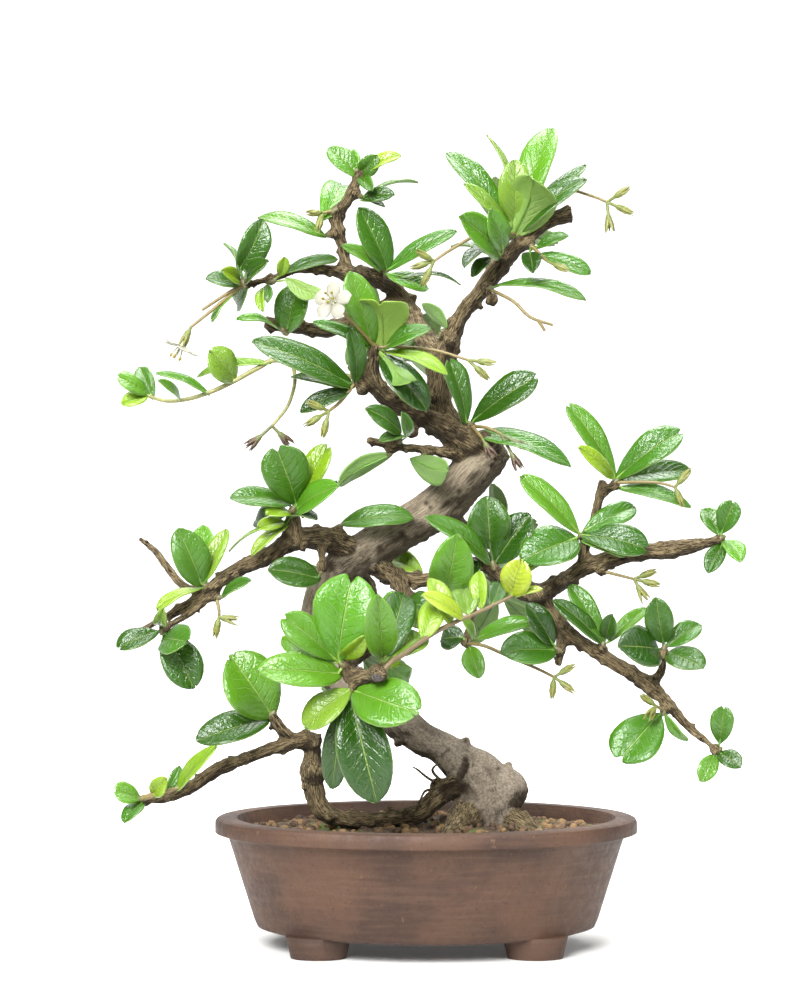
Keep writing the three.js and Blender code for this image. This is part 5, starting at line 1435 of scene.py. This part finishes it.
for number, (name, spray) in enumerate(ALL_SPRAYS.items()):
    finish_piece(spray_piece(name, spray, LEAVES[name], number), FOLIAGE, name)
bpy.data.objects.remove(blank)

# %% [markdown]
# ## Flowers
# A flower is white, with five rounded lobes that spread from a short tube, and five stamens that stand up
# out of the throat. A lobe is a small bent grid, and five of them are set around the stalk's direction,
# each with its own curl.

# %% The petals' material


def petal_material():
    material, tree, shader, place = new_material("petal", 0.5)
    veins = noise_at(tree, place, 900, 3)
    base = stained(tree, veins, 0.45, 0.7, attribute(tree, "tint", "Color"), "#a9a890", 0.3)
    dress(tree, shader, base, veins, 0.4, 0.0003)
    let_light_through(tree, shader, base, 0.3)
    return material


PETAL = petal_material()
print("petal:", len(PETAL.node_tree.nodes), "nodes")

# %% Petals and stamens
FLOWERS = {
    "flower_front": ([338, 307, -32], [341, 310, -30]),
    "flower_left": ([188, 333, -12], [191, 327, -12]),
}
CUP_DEPTH = 2.4
THROAT = 1.1
FLOWER_RADIUS = 5.6
PETAL_ROWS = np.array([0, 0.2, 0.45, 0.7, 0.9, 1.0])
PETAL_HALF = np.array([0.4, 0.65, 0.93, 1.0, 0.75, 0.32])
PETAL_WIDTH = 4.3
PETAL_THICKNESS = 0.2
PETAL_COLOUR, TUBE_COLOUR, ANTHER_COLOUR = "#b9b7a8", "#c9cbae", "#b3a044"
STAMEN_HEIGHT, STAMEN_LEAN = 5.0, 1.5
FILAMENT_RADII, ANTHER_RADII = (0.2, 0.14), (0.25, 0.42, 0.15)
TUBE_RADII, PISTIL_RADII = (0.7, 0.85, 1.15), (0.25, 0.2)


def petal(seat, way, out, seed):
    """One lobe: it leaves the throat, spreads flat and curls back a little at its end."""
    bpy.ops.object.select_all(action="DESELECT")
    bpy.ops.mesh.primitive_grid_add(x_subdivisions=4, y_subdivisions=len(PETAL_ROWS) - 1, size=2)
    lobe = bpy.context.object
    grid = coordinates(lobe.data)
    row = np.round((grid[:, 1] + 1) / 2 * (len(PETAL_ROWS) - 1)).astype(int)
    t = PETAL_ROWS[row] - 0.08 * grid[:, 0]**2 * (row > 3)
    reach = 0.8 * THROAT + t * (FLOWER_RADIUS - 0.8 * THROAT)
    width = -grid[:, 0] * PETAL_HALF[row] * PETAL_WIDTH / 2
    rise = 1.7 + 1.1 * np.sin(1.9 * t) - 1.3 * t**3 * draw(seed) + 0.16 * width * np.sin(5 * t + seed)
    rise -= 0.12 * width**2
    places = seat + np.outer(reach, out) + np.outer(width, np.cross(way, out)) + np.outer(rise, way)
    set_coordinates(lobe.data, places * MM)
    return lobe


def flower_piece(name, cup, stem, seed):
    way = unit(at(cup) - at(stem))
    seat = at(cup) + way * CUP_DEPTH
    lobes, filaments, anthers = [], [], []
    for i in range(SEPALS):
        around = 2 * math.pi * i / SEPALS + 0.3
        lobes.append(petal(seat, way, spoke(*across(way), around), seed + i))
        lean = spoke(*across(way), around + math.pi / SEPALS)
        tip = seat + STAMEN_HEIGHT * way + STAMEN_LEAN * lean
        filaments.append(((seat + 1.2 * way + 0.5 * lean, tip), FILAMENT_RADII))
        anthers.append(((tip - 0.5 * way, tip, tip + 0.6 * way), ANTHER_RADII))
    corolla = join(lobes, name)
    shade_smooth(corolla)
    apply_modifier(corolla, "SUBSURF", levels=1, render_levels=1)
    apply_modifier(corolla, "SOLIDIFY", thickness=PETAL_THICKNESS * MM, offset=0)
    set_attribute(corolla.data, "tint", "FLOAT_COLOR", colour(PETAL_COLOUR))
    tube = ((seat, seat + 1.1 * way, seat + 1.9 * way), TUBE_RADII)
    pistil = ((seat + 1.2 * way, seat + 4.6 * way), PISTIL_RADII)
    white = tinted(name, [tube, pistil] + filaments, TUBE_COLOUR)
    yellow = tinted(name, anthers, ANTHER_COLOUR)
    return join([corolla, white, yellow], name + "_petals")


for seed, (name, (cup, stem)) in enumerate(FLOWERS.items()):
    finish_piece(flower_piece(name, cup, stem, 10 * seed), PETAL, name)


# %% [markdown]
# ## The pot
# Training pots are thick stoneware, fired without glaze, on four feet and with holes in the floor. The
# wall's profile is drawn as a line, spun round and drawn in to an oval. The feet are tapered drums, and
# the holes are cut with a boolean.

# %% The wall's profile
POT_LENGTH, POT_WIDTH, POT_HEIGHT = 118, 88, 36
FOOT_HEIGHT, FOOT_LENGTH, FOOT_WIDTH, FOOT_TAPER, FOOT_SPREAD = 5, 18, 12.6, 0.84, 0.25
FLOOR_TOP = 9
WALL_THICKNESS = 4
RIM_BAND = 5
BASE_BEVEL = 3
BASE_SHARE = 0.8
OVAL = POT_WIDTH / POT_LENGTH
RIM = POT_LENGTH / 2
RIM_OVERHANG = 2


def wall_at(z):
    """The outer radius of the wall under its rim band, at a height."""
    return np.interp(z, [FOOT_HEIGHT, POT_HEIGHT], [BASE_SHARE * RIM, RIM - RIM_OVERHANG])


def pot_profile():
    band = POT_HEIGHT - RIM_BAND
    base = FOOT_HEIGHT + BASE_BEVEL
    inner = [(wall_at(z) - WALL_THICKNESS, z) for z in (POT_HEIGHT, 24, 12)]
    return [
        (0.0, FOOT_HEIGHT), (wall_at(FOOT_HEIGHT) - BASE_BEVEL, FOOT_HEIGHT),
        (wall_at(base) - 0.9, FOOT_HEIGHT + 0.9), (wall_at(base), base), (wall_at(20), 20.0),
        (wall_at(band - 0.5), band - 0.5), (wall_at(band) + 0.5, band), (RIM, band + 1),
        (RIM, POT_HEIGHT - 1.2), (RIM - 0.4, POT_HEIGHT - 0.4), (RIM - 1.2, POT_HEIGHT), *inner,
        (wall_at(FLOOR_TOP) - WALL_THICKNESS - 1.5, FLOOR_TOP), (0.0, FLOOR_TOP)]


print(len(pot_profile()), "points round the wall")

# %% Spin, feet and holes
POT_STEPS = 96
MERGE_GAP = 0.02
FOOT_SUNK = 1
DRAIN_DIAMETER, DRAIN_OFFSET = 9, 20
DRILL_LENGTH, DRILL_HEIGHT = 20, 7
FIRED_EDGE = 0.5
SHARP = math.radians(50)


def spun(profile, name):
    """A closed body turned from a profile of (radius, height) in millimetres, drawn in to the oval."""
    mesh = bpy.data.meshes.new(name)
    points = [(r * MM, 0, z * MM) for r, z in profile]
    mesh.from_pydata(points, [(i, i + 1) for i in range(len(points) - 1)], [])
    body = bpy.data.objects.new(name, mesh)
    bpy.context.collection.objects.link(body)
    select_only(body)
    bpy.ops.object.mode_set(mode="EDIT")
    bpy.ops.mesh.select_all(action="SELECT")
    bpy.ops.mesh.spin(steps=POT_STEPS, angle=2 * math.pi, center=(0, 0, 0), axis=(0, 0, 1))
    bpy.ops.mesh.select_all(action="SELECT")
    bpy.ops.mesh.remove_doubles(threshold=MERGE_GAP * MM)
    bpy.ops.mesh.normals_make_consistent(inside=False)
    bpy.ops.object.mode_set(mode="OBJECT")
    body.scale = (1, OVAL, 1)
    settle_transform(body)
    return body


def combine(body, other, operation):
    """Joins the other body on, or cuts it out, and then removes it."""
    select_only(body)
    apply_modifier(body, "BOOLEAN", operation=operation, object=other, solver="EXACT")
    bpy.data.objects.remove(other)


def foot_drum(end, side):
    height = FOOT_HEIGHT + FOOT_SUNK
    bpy.ops.mesh.primitive_cone_add(
        vertices=48, radius1=FOOT_TAPER * FOOT_LENGTH / 2 * MM, radius2=FOOT_LENGTH / 2 * MM,
        depth=height * MM, location=(
            end * POT_LENGTH * FOOT_SPREAD * MM, side * POT_WIDTH * FOOT_SPREAD * MM, height / 2 * MM))
    drum = bpy.context.object
    drum.scale = (1, FOOT_WIDTH / FOOT_LENGTH, 1)
    settle_transform(drum)
    return drum


def drill(side):
    bpy.ops.mesh.primitive_cylinder_add(
        vertices=32, radius=DRAIN_DIAMETER / 2 * MM, depth=DRILL_LENGTH * MM,
        location=(side * DRAIN_OFFSET * MM, 0, DRILL_HEIGHT * MM))
    return bpy.context.object


pot = spun(pot_profile(), "pot_body")
for side in (-1, 1):
    for end in (-1, 1):
        combine(pot, foot_drum(end, side), "UNION")
    combine(pot, drill(side), "DIFFERENCE")
apply_modifier(pot, "BEVEL", width=FIRED_EDGE * MM, segments=2, limit_method="ANGLE", angle_limit=SHARP)
print("pot:", len(pot.data.vertices), "points")

# %% Stoneware


def pot_material():
    material, tree, shader, place = new_material("stoneware", 0.62)
    clouds = noise_at(tree, place, 45, 4)
    specks = noise_at(tree, place, 1400, 2, 0.5)
    grog = noise_at(tree, place, 420, 4, 0.7)
    rings = noise_at(tree, stretched(tree, place, 14), 60, 3)
    base = shades(tree, clouds, 0.35, 0.68, "#38241a", "#523828")
    base = stained(tree, rings, 0.4, 0.7, base, "#5e4534", 0.35)
    base = stained(tree, specks, 0.64, 0.7, base, "#2b1c14", 0.7)
    base = stained(tree, grog, 0.62, 0.74, base, "#7c644c", 0.5)
    base = stained(tree, split(tree, place)[2], 0.012, 0.004, base, "#3a281e", 0.35)
    tree.links.new(remap(tree, grog, 0.3, 0.7, 0.52, 0.74), shader.inputs["Roughness"])
    relief = total(tree, product(tree, specks, 0.4), product(tree, rings, 0.5))
    dress(tree, shader, base, total(tree, relief, grog), 0.4, 0.0005)
    return material


shade_smooth(pot, 35)
finish_piece(pot, pot_material(), "pot")

# %% [markdown]
# ## Drain meshes
# A square of plastic mesh lies over each hole, so that water leaves and soil stays. A coarse grid through
# the Wireframe modifier gives woven bars.

# %% Two meshes
MESH_SIDE = 15
MESH_BARS = 9
BAR_WIDTH = 0.7
BAR_MARGIN = 0.8


def mesh_material():
    material, tree, shader, place = new_material("mesh_plastic", 0.5)
    scuffs = noise_at(tree, place, 600, 3)
    dress(tree, shader, shades(tree, scuffs, 0.4, 0.7, "#1c231f", "#38423c"), scuffs, 0.3, 0.0002)
    return material


MESH_PLASTIC = mesh_material()
for name, side in (("drain_mesh_left", -1), ("drain_mesh_right", 1)):
    bpy.ops.object.select_all(action="DESELECT")
    bpy.ops.mesh.primitive_grid_add(
        x_subdivisions=MESH_BARS, y_subdivisions=MESH_BARS, size=(MESH_SIDE - BAR_MARGIN) * MM,
        location=(side * DRAIN_OFFSET * MM, 0, (FLOOR_TOP + BAR_MARGIN) * MM))
    screen = bpy.context.object
    screen.name = name + "_bars"
    settle_transform(screen)
    apply_modifier(screen, "WIREFRAME", thickness=BAR_WIDTH * MM, use_even_offset=False, use_boundary=True)
    finish_piece(screen, MESH_PLASTIC, name)


# %% [markdown]
# ## Soil
# Bonsai soil is a mix of hard clay grains. The packed soil is copied and remeshed, so that it keeps its fit
# in the pot and around the roots, and its top is pushed into lumps. Loose grains lie on it in a seeded
# spiral, from one bevelled cube, and a green film of moss shows in the hollows.

# %% The soil's material


def soil_material():
    material, tree, shader, place = new_material("soil", 0.95)
    tint = attribute(tree, "tint")
    crumbs = noise_at(tree, place, 700, 4, 0.7)
    moss = remap(tree, noise_at(tree, place, 70, 3), 0.5, 0.62, 0, 0.85)
    base = shades(tree, crumbs, 0.35, 0.68, "#2c211a", "#6d5640")
    base = stained(tree, tint, 0.3, 1.0, base, "#94764f", 0.75)
    base = mix_colours(tree, product(tree, moss, remap(tree, tint, 0.1, 0.0)), base, "#5d6d2a")
    dress(tree, shader, base, crumbs, 0.8, 0.0012)
    return material


CLAY = soil_material()
print("soil:", len(CLAY.node_tree.nodes), "nodes")

# %% The fill
SOIL_TOP = 32
FILL_VOXEL = 1.1
FILL_MERGE_GAP = 0.01

soil = copy_of(bpy.data.objects["soil"], "soil_fill")
soil.parent = None
select_only(soil)
bpy.ops.object.mode_set(mode="EDIT")
bpy.ops.mesh.select_all(action="SELECT")
bpy.ops.mesh.remove_doubles(threshold=FILL_MERGE_GAP * MM)
bpy.ops.object.mode_set(mode="OBJECT")
apply_modifier(soil, "REMESH", mode="VOXEL", voxel_size=FILL_VOXEL * MM, use_smooth_shade=True)
points = coordinates(soil.data) / MM
top = np.clip(points[:, 2] - SOIL_TOP + 1.5, 0, 1)
points[:, 2] += top * (0.55 * noise_of(points, 2.4) + 0.6 * noise_of(points, 9.0))
set_coordinates(soil.data, points * MM)
set_attribute(soil.data, "tint", "FLOAT", 0.0)
print("fill:", len(points), "points")

# %% Loose grains
GRAINS = 460
GRAIN_BEVEL = 0.26
MOUND = 3
REST_HEIGHT = 0.2

bpy.ops.object.select_all(action="DESELECT")
bpy.ops.mesh.primitive_cube_add(size=1)
grain_blank = bpy.context.object
apply_modifier(grain_blank, "BEVEL", width=GRAIN_BEVEL, segments=1)
GRAIN = coordinates(grain_blank.data)
edge_length = wall_at(SOIL_TOP) - WALL_THICKNESS - 2.5


def loose_grain(i):
    """One grain on the seeded spiral, turned and squeezed by its own draws."""
    away = edge_length * math.sqrt((i + 0.5) / GRAINS)
    around = GOLDEN_TURN * i + 0.5 * draw(i)
    z = SOIL_TOP + MOUND * (1 - (away / edge_length)**2) + REST_HEIGHT
    size = 1.3 + 1.7 * draw(i + 0.3)**2
    first = unit(np.array([draw(i + 0.1) - 0.5, draw(i + 0.2) - 0.5, draw(i + 0.4) - 0.5]))
    second, third = across(first)
    turn = np.array([first * (0.7 + 0.5 * draw(i + 0.6)), second, third * (0.6 + 0.4 * draw(i + 0.7))])
    place = [away * math.cos(around), OVAL * away * math.sin(around), z]
    piece = copy_of(grain_blank, "grain")
    set_coordinates(piece.data, (GRAIN @ (turn * size) + place) * MM)
    set_attribute(piece.data, "tint", "FLOAT", 0.2 + 0.8 * draw(i + 0.5))
    return piece


heap = join([loose_grain(i) for i in range(GRAINS)], "grains")
bpy.data.objects.remove(grain_blank)
shade_smooth(heap, 60)
finish_piece(join([soil, heap], "soil_fill"), CLAY, "soil")

# %% [markdown]
# ## Floor and light
# The tree stands on a plain pale floor that curves up behind it, so that no horizon shows from the front.
# The backdrop shines a little by itself, and the floor is darker in front of the pot, because a pale floor
# there would mirror itself in the glossy leaves as a grey haze. A large soft light stands to the upper left
# in front, a weaker one to the right, and one above makes the thin leaves glow.

# %% Floor and backdrop
FLOOR_SIZE, FLOOR_SHIFT = 6, -0.6
BACKDROP_HEIGHT, BACKDROP_CURVE = 4, 1.2
DARK, GLOW = (0, 0, 0, 1), (0.85, 0.85, 0.85, 1)
PALE_BEYOND, GLOW_BEYOND = (-0.27, -0.1), (-0.12, 0.6)

bpy.ops.object.select_all(action="DESELECT")
bpy.ops.mesh.primitive_plane_add(size=FLOOR_SIZE, location=(0, FLOOR_SHIFT, 0))
floor = bpy.context.object
floor.name = "studio_floor"
bpy.ops.object.mode_set(mode="EDIT")
bpy.ops.mesh.select_all(action="DESELECT")
bpy.ops.object.mode_set(mode="OBJECT")
for edge in floor.data.edges:
    ends = [floor.data.vertices[i].co for i in edge.vertices]
    edge.select = all(end.y > 0.4 * FLOOR_SIZE for end in ends)
bpy.ops.object.mode_set(mode="EDIT")
bpy.ops.mesh.select_mode(type="EDGE")
bpy.ops.mesh.extrude_region_move(TRANSFORM_OT_translate={"value": (0, 0, BACKDROP_HEIGHT)})
bpy.ops.object.mode_set(mode="OBJECT")
settle_transform(floor)
apply_modifier(floor, "BEVEL", width=BACKDROP_CURVE, segments=16, limit_method="ANGLE", angle_limit=SHARP)
shade_smooth(floor)


def studio_material():
    material, tree, shader, place = new_material("studio_white", 0.9)
    depth = split(tree, place)[1]
    paint = shades(tree, depth, *PALE_BEYOND, "#6e6e6c", "#d8d8d6")
    tree.links.new(paint, shader.inputs["Base Color"])
    tree.links.new(shades(tree, depth, *GLOW_BEYOND, DARK, GLOW), shader.inputs["Emission Color"])
    shader.inputs["Emission Strength"].default_value = 1.0
    return material


floor.data.materials.append(studio_material())
print("floor:", len(floor.data.polygons), "faces")

# %% Lights
LIGHTS = {
    "key": {"place": (-0.36, -1.0, 0.82), "target": (0, 0, 0.13), "size": 0.78, "power": 40},
    "fill": {"place": (0.9, -0.8, 0.6), "target": (0, 0, 0.12), "size": 0.45, "power": 6},
    "top": {"place": (0.1, 0.3, 1.1), "target": (0, 0, 0.12), "size": 0.8, "power": 20},
}
WORLD_STRENGTH = 0.08


def add_light(name, place, target, size, power):
    bpy.ops.object.light_add(type="AREA", location=place)
    light = bpy.context.object
    light.name = name
    light.data.shape = "DISK"
    light.data.size = size
    light.data.energy = power
    light.rotation_euler = (Vector(target) - Vector(place)).to_track_quat("-Z", "Y").to_euler()


for name, settings in LIGHTS.items():
    add_light(name, **settings)
world = bpy.data.worlds.new("studio")
bpy.context.scene.world = world
world.use_nodes = True
background = world.node_tree.nodes["Background"]
background.inputs["Color"].default_value = (1, 1, 1, 1)
background.inputs["Strength"].default_value = WORLD_STRENGTH
bpy.context.scene.view_settings.view_transform = "Standard"
print(len(LIGHTS), "lights")
